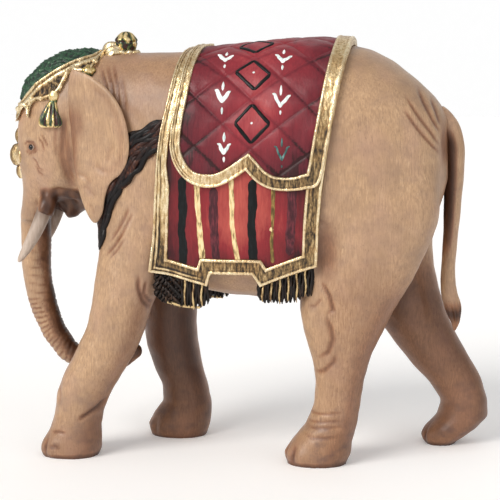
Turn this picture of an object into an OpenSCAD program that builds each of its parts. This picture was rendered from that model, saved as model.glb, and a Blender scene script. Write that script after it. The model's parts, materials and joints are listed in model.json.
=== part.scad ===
// Carved and painted wooden elephant, walking, with a saddle cloth, fringes and a headstall.
// It faces -X, stands on z = 0 and is centred on x = 0 and y = 0. Millimetres.

/* [Blocks] */
// Height of the level glue face between the trunk and each leg block and the body
leg_joint_z = 48; // [46:0.5:50]
// Place along the figure of the upright glue face between head and body
neck_joint_x = -44; // [-46:0.5:-42]
// Height of the glue face between head and trunk
trunk_joint_z = 72; // [70:0.5:74]

/* [Cloths] */
// Thickness of the lower, striped saddle cloth
under_t = 1.0; // [0.8:0.1:1.4]
// Thickness of the quilted cloth that lies on it
quilt_t = 0.9; // [0.6:0.1:1.2]
// How far the gilded bands stand above the cloth they edge
band_rise = 0.7; // [0.4:0.1:1]
// Width of the gilded bands
band_w = 3.2; // [2.5:0.1:4]
// Thickness of the carved fringes
fringe_t = 3; // [2.4:0.1:3.4]
// How much longer the fringes on the right side are
right_drop = 3.5; // [0:0.5:5]
// Thickness of the breast collar
collar_t = 1.4; // [1:0.1:2]

/* [Head] */
// Thickness of each ear
ear_t = 2.6; // [2:0.1:3.5]
// Angle between the ears and the head
ear_flare = 20; // [14:1:24]
// Thickness of the green cap on the crown
cap_t = 1.2; // [0.8:0.1:1.6]
// Thickness of the gilded headstall
headstall_t = 1.6; // [1.2:0.1:2]
// Height of the gilded ball on the poll above the floor
ball_top_z = 131; // [129:0.5:133]

/* [Pegs] */
// Diameter of the dowel through the neck joint
neck_dowel_d = 6; // [4:0.5:8]
// Diameter of the dowel in each leg joint
leg_dowel_d = 5; // [4:0.5:6]
// Diameter of the dowel in the trunk joint
trunk_dowel_d = 3; // [2:0.5:4]
// Diameter of the tenon on each tusk and on the tail
tenon_d = 2.6; // [2:0.2:3]

/* [Hidden] */

wood = "#b9936f";
gold = "#c9a469";
crimson = "#9c3038";
green = "#27462f";
umber = "#2e1c16";
ivory = "#ddcfba";
dowel_wood = "#d2b48c";

LEFT = -1;
BOTH = 0;
RIGHT = 1;
reach = 200;
skin_t = 0.02;
sides = 28;
// Roundness of the outlines: 2 is an ellipse, more is fuller
barrel_fullness = 2.8;
head_fullness = 2.3;

// Body from the neck to the rump: place along x, lowest z, highest z, half width
BARREL = [[-44, 66, 123.6, 17], [-36, 60, 124.2, 20], [-26, 55, 124.4, 23.2],
    [-14, 51.5, 124.2, 25.2], [-4, 49.8, 124.8, 26], [8, 49, 126.2, 26.3],
    [20, 49, 127, 26.3], [31.4, 50.3, 126.8, 25.9], [38, 52, 125.4, 25.2],
    [46, 56, 121.2, 23.6], [53, 64, 115.6, 20.6],
    [58.5, 77, 110.2, 15.5], [62, 86, 104.8, 8]];
// Head from the forehead back to the neck, in the same terms
SKULL = [[-73.2, 90, 103.4, 4], [-71.8, 83, 110, 7.5], [-68.2, 80, 116.2, 10.8],
    [-63.2, 78, 121, 13.4], [-57, 77.5, 124, 15], [-50, 76.5, 125, 15.8], [-44, 72, 124, 16.4]];
// Face below the brow, in level outlines: z, centre x, centre y, half length, half width
MUZZLE = [[96, -62, 0, 11, 12], [88, -63.4, 0, 9, 10.8], [82, -66, 0, 6.6, 8.8],
    [77, -67.6, 0, 5.4, 7.4], [71, -68.4, 0, 4.8, 6.4]];
// Lower jaw: x, y, z, half thickness
JAW = [[-50, 0, 80.5, 5.4], [-56.5, 0, 79, 4.6], [-55.8, 0, 74.4, 2.3]];
// Breast between the front legs, in level outlines
CHEST = [[58, -34, 0, 8, 11], [66, -35.8, 0, 9.6, 13], [73, -35.4, 0, 9.4, 14], [80, -33, 0, 8, 14]];
// Centre line of the trunk: x, y, z, half thickness
TRUNK = [[-68.4, 0, 74, 5], [-68.3, 0, 66, 4.8], [-68.3, 0, 58, 4.6], [-67.4, 0, 51, 4.3],
    [-65.6, 0.2, 44, 4], [-62.6, 0.6, 36, 3.7], [-58.4, 1, 29.6, 3.4], [-52.5, 1.6, 25.9, 3.2],
    [-46.5, 2, 25.2, 3], [-41, 2.2, 26.6, 2.8], [-36.6, 2.2, 29.6, 2.4]];
TAIL = [[61.4, 0, 103.5, 2.6], [63.8, 0, 98, 3.1], [64.2, 0, 91, 3.2], [64, 0, 83, 3],
    [63.7, 0, 74, 2.5], [63.2, 0, 65, 2.2], [62.8, 0, 57, 2.2], [63.2, 0, 51, 2.6],
    [64.5, 0, 44.5, 2.3], [65, 0, 39, 0.7]];
TUSK = [[-62.4, -8.4, 76, 2.3], [-64.8, -9.1, 70, 2.1], [-67.3, -9.7, 65, 1.7],
    [-69.3, -10.1, 61.5, 1.1], [-70.8, -10.2, 59.4, 0.4]];
TUSK_TENON_TOP = [-58.6, -7.4, 83];

// Legs from the sole up into the body: z, centre x, centre y, half length, half width
LEG_FRONT_LEFT = [[0, -53.2, -16, 8.6, 8], [2, -52.9, -16, 9.2, 8.6], [5, -52.4, -16, 8.8, 8.6],
    [9, -51.4, -16, 7.9, 8], [14, -50.2, -16, 7.7, 7.7], [20, -48.5, -16, 8.5, 8],
    [26, -45.6, -16, 9.1, 8.4], [32, -42.1, -15.8, 9.4, 8.8], [40, -38.5, -15.4, 9.2, 9.2],
    [48, -36.4, -15.2, 9.4, 9.6], [57, -33.6, -14.6, 10.8, 9.8], [68, -30.5, -13.8, 12.6, 9.2],
    [82, -28, -13, 12, 8]];
LEG_FRONT_RIGHT = [[0, -24.6, 16, 9, 8.2], [3, -24.4, 16, 9.8, 8.8], [7, -23.4, 16, 9.4, 8.6],
    [11, -21.9, 16, 8, 8], [17, -22.8, 16, 7.6, 7.7], [23, -25, 16, 8, 8],
    [30, -26.8, 15.8, 8.5, 8.6], [38, -27.4, 15.4, 8.6, 9.2], [48, -28, 15, 9.6, 9.6],
    [57, -28.4, 14.6, 10.8, 9.8], [68, -28.4, 13.8, 12, 9.2], [82, -28, 13, 12, 8]];
LEG_HIND_LEFT = [[0, 23.9, -16, 9, 8.2], [3, 24.5, -16, 9.7, 8.8], [7, 25.6, -16, 9.1, 8.6],
    [12, 28.4, -16, 8, 7.8], [18, 30.2, -16, 7.2, 7.4], [26, 30.9, -16, 7.4, 7.8],
    [33, 31.3, -15.8, 8.9, 8.6], [40, 32, -15.4, 11.4, 9.4], [48, 33, -15, 14.4, 10],
    [57, 35.6, -14.6, 17, 10.4], [67, 38.2, -14.4, 18.2, 10.6], [77, 40, -14.2, 19.2, 10.2],
    [92, 41, -13, 17, 9]];
LEG_HIND_RIGHT = [[0, 60.6, 16, 4.4, 6.6], [2, 61.6, 16, 6.4, 7.6], [5, 64.2, 16, 7.8, 8.2],
    [9, 67.7, 16, 8.2, 8], [14, 68.4, 16, 7.6, 7.6], [20, 65.4, 16, 8.8, 8],
    [26, 61, 16, 10, 8.6], [33, 56, 15.8, 10.7, 9.2], [40, 51.8, 15.4, 11.2, 9.8],
    [48, 48, 15, 12.4, 10.2], [57, 44.4, 14.6, 13.4, 10.4], [67, 41.4, 14.4, 15, 10.6],
    [77, 40.4, 14.2, 16.6, 10.2], [92, 40, 13, 16, 9]];

// Side outlines: x, z
EAR = [[-51.4, 118.6], [-47.4, 118.4], [-43, 116.2], [-38.4, 112.6], [-34.6, 107.2],
    [-32.5, 100.4], [-32.4, 94], [-34.6, 88.6], [-38.6, 85.2], [-40.4, 81], [-41.4, 76],
    [-43.6, 72.8], [-46, 74.4], [-48.6, 80.4], [-50.4, 88], [-51.6, 98], [-52.4, 109]];
UNDER_FRONT = [[-17, 140], [-17.6, 124], [-20.6, 112], [-23.2, 100], [-24.6, 86], [-25.4, 72],
    [-26, 60]];
UNDER_FOOT = [[-25.4, 58.6], [-8.2, 54.6], [-7, 58.4], [5.2, 58.6], [7, 55.2], [9, 55.2],
    [24.6, 61.6]];
UNDER_REAR = [[25, 70], [26.2, 84], [28.2, 98], [30.6, 112], [33, 124], [33.6, 140]];
UPPER_FRONT = [[-13.4, 140], [-14.4, 124], [-17, 112], [-18.6, 102], [-18.8, 95.4],
    [-17, 90.4], [-13.6, 86.6], [-9.4, 84.8], [-4.6, 85], [0, 87.2]];
UPPER_CUSP = [3.8, 89.8];
UPPER_REAR = [[7.2, 86.4], [11.4, 84.4], [16.4, 84], [21.4, 84.6], [25.6, 86.6], [28, 98],
    [30.4, 112], [32.8, 124], [33.4, 140]];
FRINGE_FRONT = [[-24, 58.2], [-8.4, 54.6], [-8.4, 50.8], [-11, 48.6], [-16.5, 48.8],
    [-22, 50.2], [-24.4, 52.6]];
FRINGE_REAR = [[7.2, 55.2], [9, 55.2], [23.6, 61.2], [23.4, 53.6], [18.6, 51.6], [12, 50.6],
    [8, 50.2], [6.6, 52]];
COLLAR = [[-22, 105.4], [-27, 101.6], [-33, 98], [-38.4, 90], [-41.4, 82], [-43.2, 75],
    [-48, 69], [-48, 62.5], [-43, 63.5], [-40.6, 70.5], [-38.6, 78.6], [-35.8, 83.4],
    [-32, 86.4], [-29.4, 90.6], [-24, 95], [-22, 96]];
CAP = [[-76, 108.4], [-70, 109.4], [-67.2, 112.6], [-63.8, 115.8], [-58, 119.6],
    [-52, 122.6], [-46.5, 124.2], [-46.5, 132], [-60, 132], [-76, 120]];
HEADSTALL = [[-76, 105.4], [-69, 107], [-65, 109.4], [-61.6, 110.6], [-57, 112.4],
    [-54.6, 114.6], [-52.6, 119.2], [-47.6, 119], [-44.5, 121], [-44.5, 130], [-76, 130]];

// Where an ear's middle plane starts: x and distance from the middle
EAR_ROOT = [-54, 15.4];

// Ornaments of the headstall
FRONTLET = [[-72.8, 0, 104.5, 1.4], [-72.8, 0, 98, 1.7], [-73.6, 0, 92.4, 2.4],
    [-73.4, 0, 89.4, 2.2], [-72.6, 0, 85.2, 0.8]];
TASSEL_KNOT = [-57.6, -13.6, 111.4, 1.9];
TASSEL_NECK = [-58, -14, 108.6, 1.5];
TASSEL_HEM = [[-60.8, -14.2, 103.4], [-57.2, -14.6, 103.4]];
POLL_KNOT = [-47.2, 11.4, 118.6];
CUSHION = [-43.4, 0, 124.4];
BALL_X = -37.9;
BALL_R = 3.6;

// The cloths' hem: how far it leans in from the flank, at what height, and the fringe's place
hem_lean = 2.6;
hem_z = 54;
fringe_y = 20.6;

// Centres of the dowels
NECK_DOWEL = [-44, 0, 100];
NECK_DOWEL_LENGTH = 18;
TRUNK_DOWEL = [-68.3, 0, 72];
TRUNK_DOWEL_LENGTH = 14;
LEG_DOWELS = [[-37.6, -15.4, 48], [-27.8, 15.4, 48], [32.6, -15.4, 48], [49.6, 15.4, 48]];
LEG_DOWEL_LENGTH = 20;
TAIL_TENON = [61, 0, 100];
TAIL_TENON_LENGTH = 8;

// A closed oval with half sizes a and b
function oval(a, b, fullness = 2) = [for (i = [0 : sides - 1])
    let (t = 360 * i / sides, c = cos(t), s = sin(t))
    [a * sign(c) * pow(abs(c), 2 / fullness), b * sign(s) * pow(abs(s), 2 / fullness)]];

// One point of the smooth curve through four points, at t from 0 to 1 between b and c
function between(a, b, c, d, t) =
    0.5 * (2 * b + (c - a) * t + (2 * a - 5 * b + 4 * c - d) * t * t
    + (3 * b - a - 3 * c + d) * t * t * t);

// Smooth open curve through the points p
function curve(p, steps = 3) = let (last = len(p) - 1)
    concat([for (i = [0 : last - 1]) for (k = [0 : steps - 1])
        between(p[max(i - 1, 0)], p[i], p[i + 1], p[min(i + 2, last)], k / steps)], [p[last]]);

// Smooth closed curve through the points p
function loop(p, steps = 3) = let (n = len(p))
    [for (i = [0 : n - 1]) for (k = [0 : steps - 1])
        between(p[(i + n - 1) % n], p[i], p[(i + 1) % n], p[(i + 2) % n], k / steps)];

UNDER = concat(curve(UNDER_FRONT), UNDER_FOOT, curve(UNDER_REAR));
UPPER = concat(curve(UPPER_FRONT), [UPPER_CUSP], curve(UPPER_REAR));

// Upright outline across the figure, grown by g
module rib(s, g, fullness)
    translate([s[0], 0, (s[1] + s[2]) / 2]) rotate([90, 0, 90])
        linear_extrude(skin_t) polygon(oval(s[3] + g, (s[2] - s[1]) / 2 + g, fullness));

// Solid through upright outlines, nose to tail
module ribs(stations, g = 0, fullness = 2)
    for (i = [0 : len(stations) - 2])
        hull() {
            rib(stations[i], g, fullness);
            rib(stations[i + 1], g, fullness);
        }

// Solid through level outlines, from the sole up
module levels(stations, g = 0)
    for (i = [0 : len(stations) - 2])
        hull()
            for (s = [stations[i], stations[i + 1]])
                translate([s[1], s[2], s[0]])
                    linear_extrude(skin_t) polygon(oval(s[3] + g, s[4] + g, 2.2));

// Round rod through balls on a bent centre line
module rod(points, grain = 16)
    for (i = [0 : len(points) - 2])
        hull()
            for (p = [points[i], points[i + 1]])
                translate([p[0], p[1], p[2]]) sphere(p[3], $fn = grain);

// Straight peg between two points
module peg(from, to, d) {
    way = to - from;
    translate(from)
        rotate([0, acos(way[2] / norm(way)), atan2(way[1], way[0])])
            cylinder(h = norm(way), d = d, $fn = 32);
}

// Everything inside a side outline drawn in by w, on one side of the figure or on both
module side_of(outline, side = BOTH, w = 0)
    translate([0, side == LEFT ? 0 : reach / 2, 0]) rotate([90, 0, 0])
        linear_extrude(side == BOTH ? reach : reach / 2) offset(delta = -w) polygon(outline);

// The same outline with its lower end let down, as the cloth hangs on the right side
function longer(outline) = [for (p = outline) p[1] < 54.5 ? [p[0], p[1] - right_drop] : p];

// An upright plate with a side outline, its inner face at y from the middle of the figure
module side_slab(outline, side, y, t)
    translate([0, side == LEFT ? -y : y + t, 0]) rotate([90, 0, 0])
        linear_extrude(t) polygon(outline);

module neck_dowel() color(dowel_wood)
    translate([NECK_DOWEL[0] - NECK_DOWEL_LENGTH / 2, 0, NECK_DOWEL[2]]) rotate([0, 90, 0])
        cylinder(h = NECK_DOWEL_LENGTH, d = neck_dowel_d, $fn = 32);

module trunk_dowel() color(dowel_wood)
    translate([TRUNK_DOWEL[0], 0, TRUNK_DOWEL[2] - TRUNK_DOWEL_LENGTH / 2])
        cylinder(h = TRUNK_DOWEL_LENGTH, d = trunk_dowel_d, $fn = 32);

module leg_dowels() color(dowel_wood)
    for (p = LEG_DOWELS)
        translate([p[0], p[1], p[2] - LEG_DOWEL_LENGTH / 2])
            cylinder(h = LEG_DOWEL_LENGTH, d = leg_dowel_d, $fn = 32);

module tail_tenon()
    translate([TAIL_TENON[0] - TAIL_TENON_LENGTH, 0, TAIL_TENON[2]]) rotate([0, 90, 0])
        cylinder(h = TAIL_TENON_LENGTH + 2, d = tenon_d, $fn = 32);

// Body and the upper ends of the legs, before the joints are cut
module body_mass(g = 0) {
    ribs(BARREL, g, barrel_fullness);
    levels(CHEST, g);
    for (leg = [LEG_FRONT_LEFT, LEG_FRONT_RIGHT, LEG_HIND_LEFT, LEG_HIND_RIGHT])
        levels([for (s = leg) if (s[0] >= 48) s], g);
}

module head_mass(g = 0) {
    ribs(SKULL, g, head_fullness);
    levels(MUZZLE, g);
    rod([for (p = JAW) [p[0], p[1], p[2], p[3] + g]]);
}

// Half space below a level
module below(z) translate([-reach / 2, -reach / 2, z - reach]) cube(reach);

// The space ahead of the neck joint and above the throat
module ahead_of_neck()
    translate([neck_joint_x - reach, -reach / 2, trunk_joint_z]) cube(reach);

module torso() color(wood) difference() {
    body_mass();
    ahead_of_neck();
    below(leg_joint_z);
    neck_dowel();
    leg_dowels();
    tail_tenon();
}

module head() color(wood) difference() {
    intersection() {
        head_mass();
        ahead_of_neck();
    }
    neck_dowel();
    trunk_dowel();
    for (side = [LEFT, RIGHT]) tusk(side);
}

module trunk() color(wood) difference() {
    intersection() {
        rod(TRUNK, 20);
        below(trunk_joint_z);
    }
    trunk_dowel();
}

module ear(side) color(wood) difference() {
    intersection() {
        side_of(loop(EAR), side);
        translate([EAR_ROOT[0], side * EAR_ROOT[1], 60]) rotate([0, 0, side * ear_flare])
            translate([-6, -ear_t / 2, 0]) cube([40, ear_t, 70]);
    }
    head_mass();
    body_mass();
    head_layer(headstall_t) side_of(HEADSTALL);
}

module tusk(side) color(ivory) mirror([0, side == RIGHT ? 1 : 0, 0]) {
    rod(TUSK, 14);
    peg([TUSK[0][0], TUSK[0][1], TUSK[0][2]], TUSK_TENON_TOP, tenon_d);
}

module leg(stations) color(wood) difference() {
    intersection() {
        levels([for (s = stations) if (s[0] <= 57) s]);
        below(leg_joint_z);
    }
    leg_dowels();
}

module tail() color(wood) {
    difference() {
        rod(TAIL, 16);
        body_mass();
    }
    tail_tenon();
}

// The form the cloths hang in: it follows the back and falls straight from the flanks
module drape(g)
    for (i = [2 : len(BARREL) - 4])
        hull()
            for (s = [BARREL[i], BARREL[i + 1]]) {
                rib(s, g, barrel_fullness);
                for (side = [LEFT, RIGHT])
                    translate([s[0], side * (s[3] + g - hem_lean), hem_z])
                        rotate([90, 0, 90]) linear_extrude(skin_t) square(0.2, center = true);
            }

// A layer over the body between heights low and high above the wood, inside an outline
module layer(low, high) difference() {
    intersection() {
        drape(high);
        children();
    }
    if (low > 0) drape(low);
    body_mass();
}

module under_cloth() color(crimson) layer(0, under_t) side_of(UNDER);

module upper_cloth() color(crimson) layer(under_t, under_t + quilt_t) side_of(UPPER, BOTH, band_w);

module upper_border() color(gold) layer(under_t, under_t + quilt_t + band_rise) difference() {
    side_of(UPPER);
    side_of(UPPER, BOTH, band_w);
}

module frame(side) color(gold) difference() {
    layer(under_t, under_t + band_rise) difference() {
        side_of(UNDER, side);
        side_of(UNDER, BOTH, band_w);
    }
    side_of(UPPER);
}

module fringe(outline, side) color(umber) difference() {
    side_slab(side == LEFT ? outline : longer(outline), side, fringe_y, fringe_t);
    body_mass();
    side_of(UNDER);
}

// A layer of thickness t on the crown of the head, inside an outline
module head_layer(t) difference() {
    intersection() {
        ribs(SKULL, t, head_fullness);
        children();
    }
    ribs(SKULL, 0, head_fullness);
}

module head_cap() color(green) head_layer(cap_t) side_of(curve(CAP));

module headstall() color(gold) difference() {
    head_layer(headstall_t) side_of(HEADSTALL);
    side_of(curve(CAP));
}

module crown_ball() color(gold) translate([BALL_X, 0, ball_top_z - BALL_R]) sphere(BALL_R, $fn = 48);

module crown_base() color(gold) difference() {
    hull() {
        translate(CUSHION) sphere(2.4, $fn = 18);
        translate([BALL_X, 0, 123.4]) sphere(3.8, $fn = 18);
    }
    crown_ball();
    ahead_of_neck();
    body_mass();
}

// A bell of cords hanging from a knot on the temple
module side_tassel(side) color(gold) difference() {
    mirror([0, side == RIGHT ? 1 : 0, 0]) {
        rod([TASSEL_KNOT, TASSEL_NECK]);
        hull() {
            translate([TASSEL_NECK[0], TASSEL_NECK[1], TASSEL_NECK[2]]) sphere(1.3, $fn = 16);
            for (p = TASSEL_HEM) translate(p) sphere(2, $fn = 16);
        }
    }
    head_mass();
    head_layer(headstall_t) side_of(HEADSTALL);
}

module poll_knot(side) color(gold) difference() {
    translate([POLL_KNOT[0], side * POLL_KNOT[1], POLL_KNOT[2]]) sphere(2.2, $fn = 16);
    head_mass();
    head_layer(headstall_t) side_of(HEADSTALL);
}

module frontlet() color(gold) difference() {
    rod(FRONTLET, 14);
    head_mass();
    head_layer(headstall_t) side_of(HEADSTALL);
}

module breast_collar() color(umber) difference() {
    intersection() {
        body_mass(collar_t);
        side_of(loop(COLLAR, 2));
    }
    body_mass();
    ahead_of_neck();
    for (side = [LEFT, RIGHT]) ear(side);
    intersection() {
        drape(under_t + quilt_t + band_rise);
        side_of(UNDER);
    }
}

torso();
head();
trunk();
ear(LEFT);  // ear_left
ear(RIGHT);  // ear_right
tusk(LEFT);  // tusk_left
tusk(RIGHT);  // tusk_right
leg(LEG_FRONT_LEFT);  // leg_front_left
leg(LEG_FRONT_RIGHT);  // leg_front_right
leg(LEG_HIND_LEFT);  // leg_hind_left
leg(LEG_HIND_RIGHT);  // leg_hind_right
tail();
under_cloth();
upper_cloth();
upper_border();
frame(LEFT);  // frame_left
frame(RIGHT);  // frame_right
fringe(FRINGE_FRONT, LEFT);  // fringe_front_left
fringe(FRINGE_FRONT, RIGHT);  // fringe_front_right
fringe(FRINGE_REAR, LEFT);  // fringe_rear_left
fringe(FRINGE_REAR, RIGHT);  // fringe_rear_right
head_cap();
headstall();
crown_base();
crown_ball();
side_tassel(LEFT);  // side_tassel_left
side_tassel(RIGHT);  // side_tassel_right
poll_knot(LEFT);  // poll_knot_left
poll_knot(RIGHT);  // poll_knot_right
frontlet();
breast_collar();
neck_dowel();
trunk_dowel();
leg_dowels();
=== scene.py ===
# Carved and painted wooden elephant in a saddle cloth, fringes, breast collar and headstall.
import bpy
import json
import math
import numpy as np
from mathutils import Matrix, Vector
from mathutils.kdtree import KDTree

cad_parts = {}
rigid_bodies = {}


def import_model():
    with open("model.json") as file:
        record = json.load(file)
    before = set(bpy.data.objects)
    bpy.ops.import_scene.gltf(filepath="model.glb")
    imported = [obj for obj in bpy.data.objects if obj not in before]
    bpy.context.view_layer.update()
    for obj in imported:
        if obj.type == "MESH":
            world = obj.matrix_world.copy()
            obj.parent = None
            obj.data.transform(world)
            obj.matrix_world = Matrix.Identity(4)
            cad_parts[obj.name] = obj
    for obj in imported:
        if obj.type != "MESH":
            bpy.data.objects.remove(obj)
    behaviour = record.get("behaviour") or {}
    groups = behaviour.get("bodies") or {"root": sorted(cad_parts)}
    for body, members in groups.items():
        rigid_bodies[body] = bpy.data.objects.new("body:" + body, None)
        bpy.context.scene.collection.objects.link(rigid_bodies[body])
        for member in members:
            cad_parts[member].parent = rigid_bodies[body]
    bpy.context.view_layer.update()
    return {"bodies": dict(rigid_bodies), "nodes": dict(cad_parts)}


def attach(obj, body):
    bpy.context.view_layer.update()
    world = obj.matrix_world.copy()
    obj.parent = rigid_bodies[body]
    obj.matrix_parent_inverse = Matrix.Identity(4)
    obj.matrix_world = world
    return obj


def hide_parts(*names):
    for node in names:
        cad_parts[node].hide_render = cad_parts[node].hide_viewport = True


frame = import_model()
# Objects already in the file that are neither a node nor a body of the frame are not wanted
for leftover in [o for o in bpy.data.objects if o.name not in frame["nodes"]
                 and o.name not in frame["bodies"] and not o.name.startswith("body:")]:
    bpy.data.objects.remove(leftover)

# ---------------------------------------------------------------- the carved body
# The figure is carved from close-grained pale hardwood in one form: head, body, trunk and legs
# are blocked up with dowels and glue, then carved over the joints, sanded, stained and waxed.
# The joints stay: the finished carving is sawn at its glue faces into the pieces it is made of.
LEG_JOINT, NECK_JOINT, TRUNK_JOINT = 48, -44, 72
BODY_BLOCKS = ["torso", "head", "trunk", "leg_front_left", "leg_front_right", "leg_hind_left",
               "leg_hind_right", "neck_dowel", "trunk_dowel", "leg_dowels"]
NEAR, FAR = -1, 1                   # the left side is at -Y
SIDES = ((NEAR, "left"), (FAR, "right"))


def take(*objs):
    """Leave only these objects selected, the first one active; with none, select nothing."""
    if bpy.context.object and bpy.context.object.mode != "OBJECT":
        bpy.ops.object.mode_set(mode="OBJECT")
    bpy.ops.object.select_all(action="DESELECT")
    for obj in objs:
        obj.select_set(True)
    if objs:
        bpy.context.view_layer.objects.active = objs[0]


def finish_with(obj, kind, **settings):
    """Add a modifier with its settings and apply it."""
    take(obj)
    modifier = obj.modifiers.new(kind.title(), kind)
    for key, value in settings.items():
        setattr(modifier, key, value)
    bpy.ops.object.modifier_apply(modifier=modifier.name)


def join_up(parts, name):
    """Join objects into the first one and name it."""
    take(*parts)
    if len(parts) > 1:
        bpy.ops.object.join()
    parts[0].name = name
    return parts[0]


def linked(name, mesh):
    """A new object that shows this mesh."""
    obj = bpy.data.objects.new(name, mesh)
    bpy.context.collection.objects.link(obj)
    return obj


def copy_of(names, name):
    """A copy of some CAD solids as one new object, with its loose triangles joined up."""
    obj = join_up([linked(name, frame["nodes"][node].data.copy()) for node in names], name)
    obj.data.materials.clear()
    bpy.ops.object.mode_set(mode="EDIT")
    bpy.ops.mesh.select_all(action="SELECT")
    bpy.ops.mesh.remove_doubles(threshold=1e-6)
    bpy.ops.object.mode_set(mode="OBJECT")
    return obj


def points_of(obj):
    """Every point of the mesh, in millimetres."""
    co = np.empty(len(obj.data.vertices) * 3)
    obj.data.vertices.foreach_get("co", co)
    return co.reshape(-1, 3) * 1000


def normals_of(obj):
    n = np.empty(len(obj.data.vertices) * 3)
    obj.data.vertex_normals.foreach_get("vector", n)
    return n.reshape(-1, 3)


def place(obj, points):
    obj.data.vertices.foreach_set("co", (points / 1000).astype(np.float32).ravel())
    obj.data.update()


def note(obj, name, values):
    """Keep one number for each point of the mesh, for the finish to read."""
    layer = obj.data.attributes.get(name) or obj.data.attributes.new(name, "FLOAT", "POINT")
    layer.data.foreach_set("value", np.clip(values, 0, 1).astype(np.float32))


def fade(x, start, end):
    """0 at start, 1 at end, smooth between."""
    t = np.clip((x - start) / (end - start), 0, 1)
    return t * t * (3 - 2 * t)


def hump(x, width):
    """1 at x = 0, falling off to both sides within about this width."""
    return np.exp(-(x / width) ** 2)


def keep_largest(obj):
    """Delete every loose shell but the largest."""
    take(obj)
    bpy.ops.mesh.separate(type="LOOSE")
    parts = sorted(bpy.context.selected_objects, key=lambda o: -len(o.data.vertices))
    for extra in parts[1:]:
        bpy.data.objects.remove(extra)
    take(parts[0])
    return parts[0]


# The lip swells round the root of each tusk
carving = copy_of(BODY_BLOCKS, "carving")
sheaths = []
for side in (NEAR, FAR):
    root, mouth = Vector((-60.2, side * 7.6, 82.4)) / 1000, Vector((-63.1, side * 8.65, 74.6)) / 1000
    bpy.ops.object.select_all(action="DESELECT")
    bpy.ops.mesh.primitive_cone_add(vertices=32, radius1=0.0031, radius2=0.0024, depth=(root - mouth).length,
                                    location=(root + mouth) / 2,
                                    rotation=(root - mouth).to_track_quat("Z", "Y").to_euler())
    bpy.ops.object.transform_apply()
    sheaths.append(bpy.context.object)
join_up([carving] + sheaths, "carving")
finish_with(carving, "REMESH", mode="VOXEL", voxel_size=0.00062)
carving = keep_largest(carving)
P = points_of(carving)
X, Y, Z = P.T
on_head = fade(X, -46, -52) * fade(Z, 72, 80)
on_body = fade(X, -58, -50) * fade(Z, 46, 60)
on_legs = fade(Z, 9, 16) * fade(Z, 60, 50) * (np.abs(Y) > 5)
on_trunk = fade(Z, 80, 70) * (np.abs(Y) < 6.5)
for name, weight, passes in [("all_over", np.ones(len(P)), 6), ("trunk", on_trunk, 6),
                             ("legs", np.maximum(on_legs, on_body), 14),
                             ("head", np.maximum(on_head, on_body), 16), ("body", on_body, 36)]:
    group = carving.vertex_groups.new(name=name)
    for value in range(1, 11):
        members = np.nonzero(np.round(weight * 10) == value)[0]
        if len(members):
            group.add(members.tolist(), value / 10, "REPLACE")
    finish_with(carving, "SMOOTH", factor=0.5, iterations=passes, vertex_group=name)
carving.vertex_groups.clear()


def start_carving(obj):
    """Take up a piece: its points (mm) and normals, how far each is cut back, and how much stain or painted
    shade it takes.
    """
    global P, X, Y, Z, N, push, stain
    P, N = points_of(obj), normals_of(obj)
    X, Y, Z = P.T
    push, stain = np.zeros(len(P)), np.zeros(len(P))


def end_carving(obj):
    place(obj, P + N * push[:, None])
    note(obj, "stain", stain)


# The smoothing thins the wood a little, so the form is brought back out before it is carved.
start_carving(carving)
P += N * (0.12 + 0.16 * fade(Z, 12, 30))[:, None]
brow = fade(X, -58, -70) * fade(Z, 66, 84) * fade(Z, 116, 108)
X += 1.3 * brow + 0.6 * fade(X, -60, -68) * fade(Z, 44, 60) * fade(Z, 88, 76)
P -= N * (0.3 * np.abs(N[:, 0]) * fade(Z, 4, 14) * fade(Z, 60, 44)
          * (np.abs(Y) > 6))[:, None]


def distance_to(line, a, b):
    """How far each point (a, b) is from a bent line, and how far along the line it is, 0 to 1."""
    best, along = np.full(len(a), 1e9), np.zeros(len(a))
    lengths = [math.dist(p, q) for p, q in zip(line, line[1:])]
    done = 0
    for (p, q), length in zip(zip(line, line[1:]), lengths):
        dx, dz = q[0] - p[0], q[1] - p[1]
        t = np.clip(((a - p[0]) * dx + (b - p[1]) * dz) / length ** 2, 0, 1)
        d = np.hypot(a - p[0] - t * dx, b - p[1] - t * dz)
        nearer = d < best
        best[nearer] = d[nearer]
        along[nearer] = (done + t[nearer] * length) / sum(lengths)
        done += length
    return best, along


def crease(line, side, depth=0.45, width=0.55, dark=0.6, lip=0.16):
    """A groove along a line in side view, deepest in the middle, with a soft lip on each side."""
    global push, stain
    zone = (N[:, 1] * side > 0.15) & (Y * side > 0)
    lo, hi = np.min(line, axis=0) - 4 * width, np.max(line, axis=0) + 4 * width
    zone &= (X > lo[0]) & (X < hi[0]) & (Z > lo[1]) & (Z < hi[1])
    at = np.nonzero(zone)[0]
    d, along = distance_to(line, X[at], Z[at])
    ends = np.clip(np.sin(np.pi * np.clip(along, 0.02, 0.98)) * 1.6, 0, 1)
    groove = hump(d, width) * ends
    push[at] += -depth * groove + lip * depth * hump(d - 2 * width, width) * ends
    stain[at] = np.maximum(stain[at], 0.55 * dark * hump(d, 0.8 * width) * ends)


def creases(side, *rows):
    """Several creases, each a depth, a width, how dark it is, and then its points."""
    for depth, width, dark, *line in rows:
        crease(line, side, depth, width, dark)


def swell(centre, size, height, dark=0):
    """A soft rise, or with a negative height a hollow, round a point."""
    global push, stain
    r = ((P - np.array(centre)) / np.array(size)) ** 2
    lump = np.exp(-r.sum(axis=1))
    push += height * lump
    if dark:
        stain = np.maximum(stain, dark * np.clip(lump * 1.5 - 0.1, 0, 1))


def ring(zone, at, depth, width, dark=0.3):
    """A groove right round a limb, where the number `at` is zero."""
    global push, stain
    groove = hump(at, width) * zone
    push += -depth * groove + 0.4 * depth * hump(np.abs(at) - 2 * width, width) * zone
    stain = np.maximum(stain, dark * groove)


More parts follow.
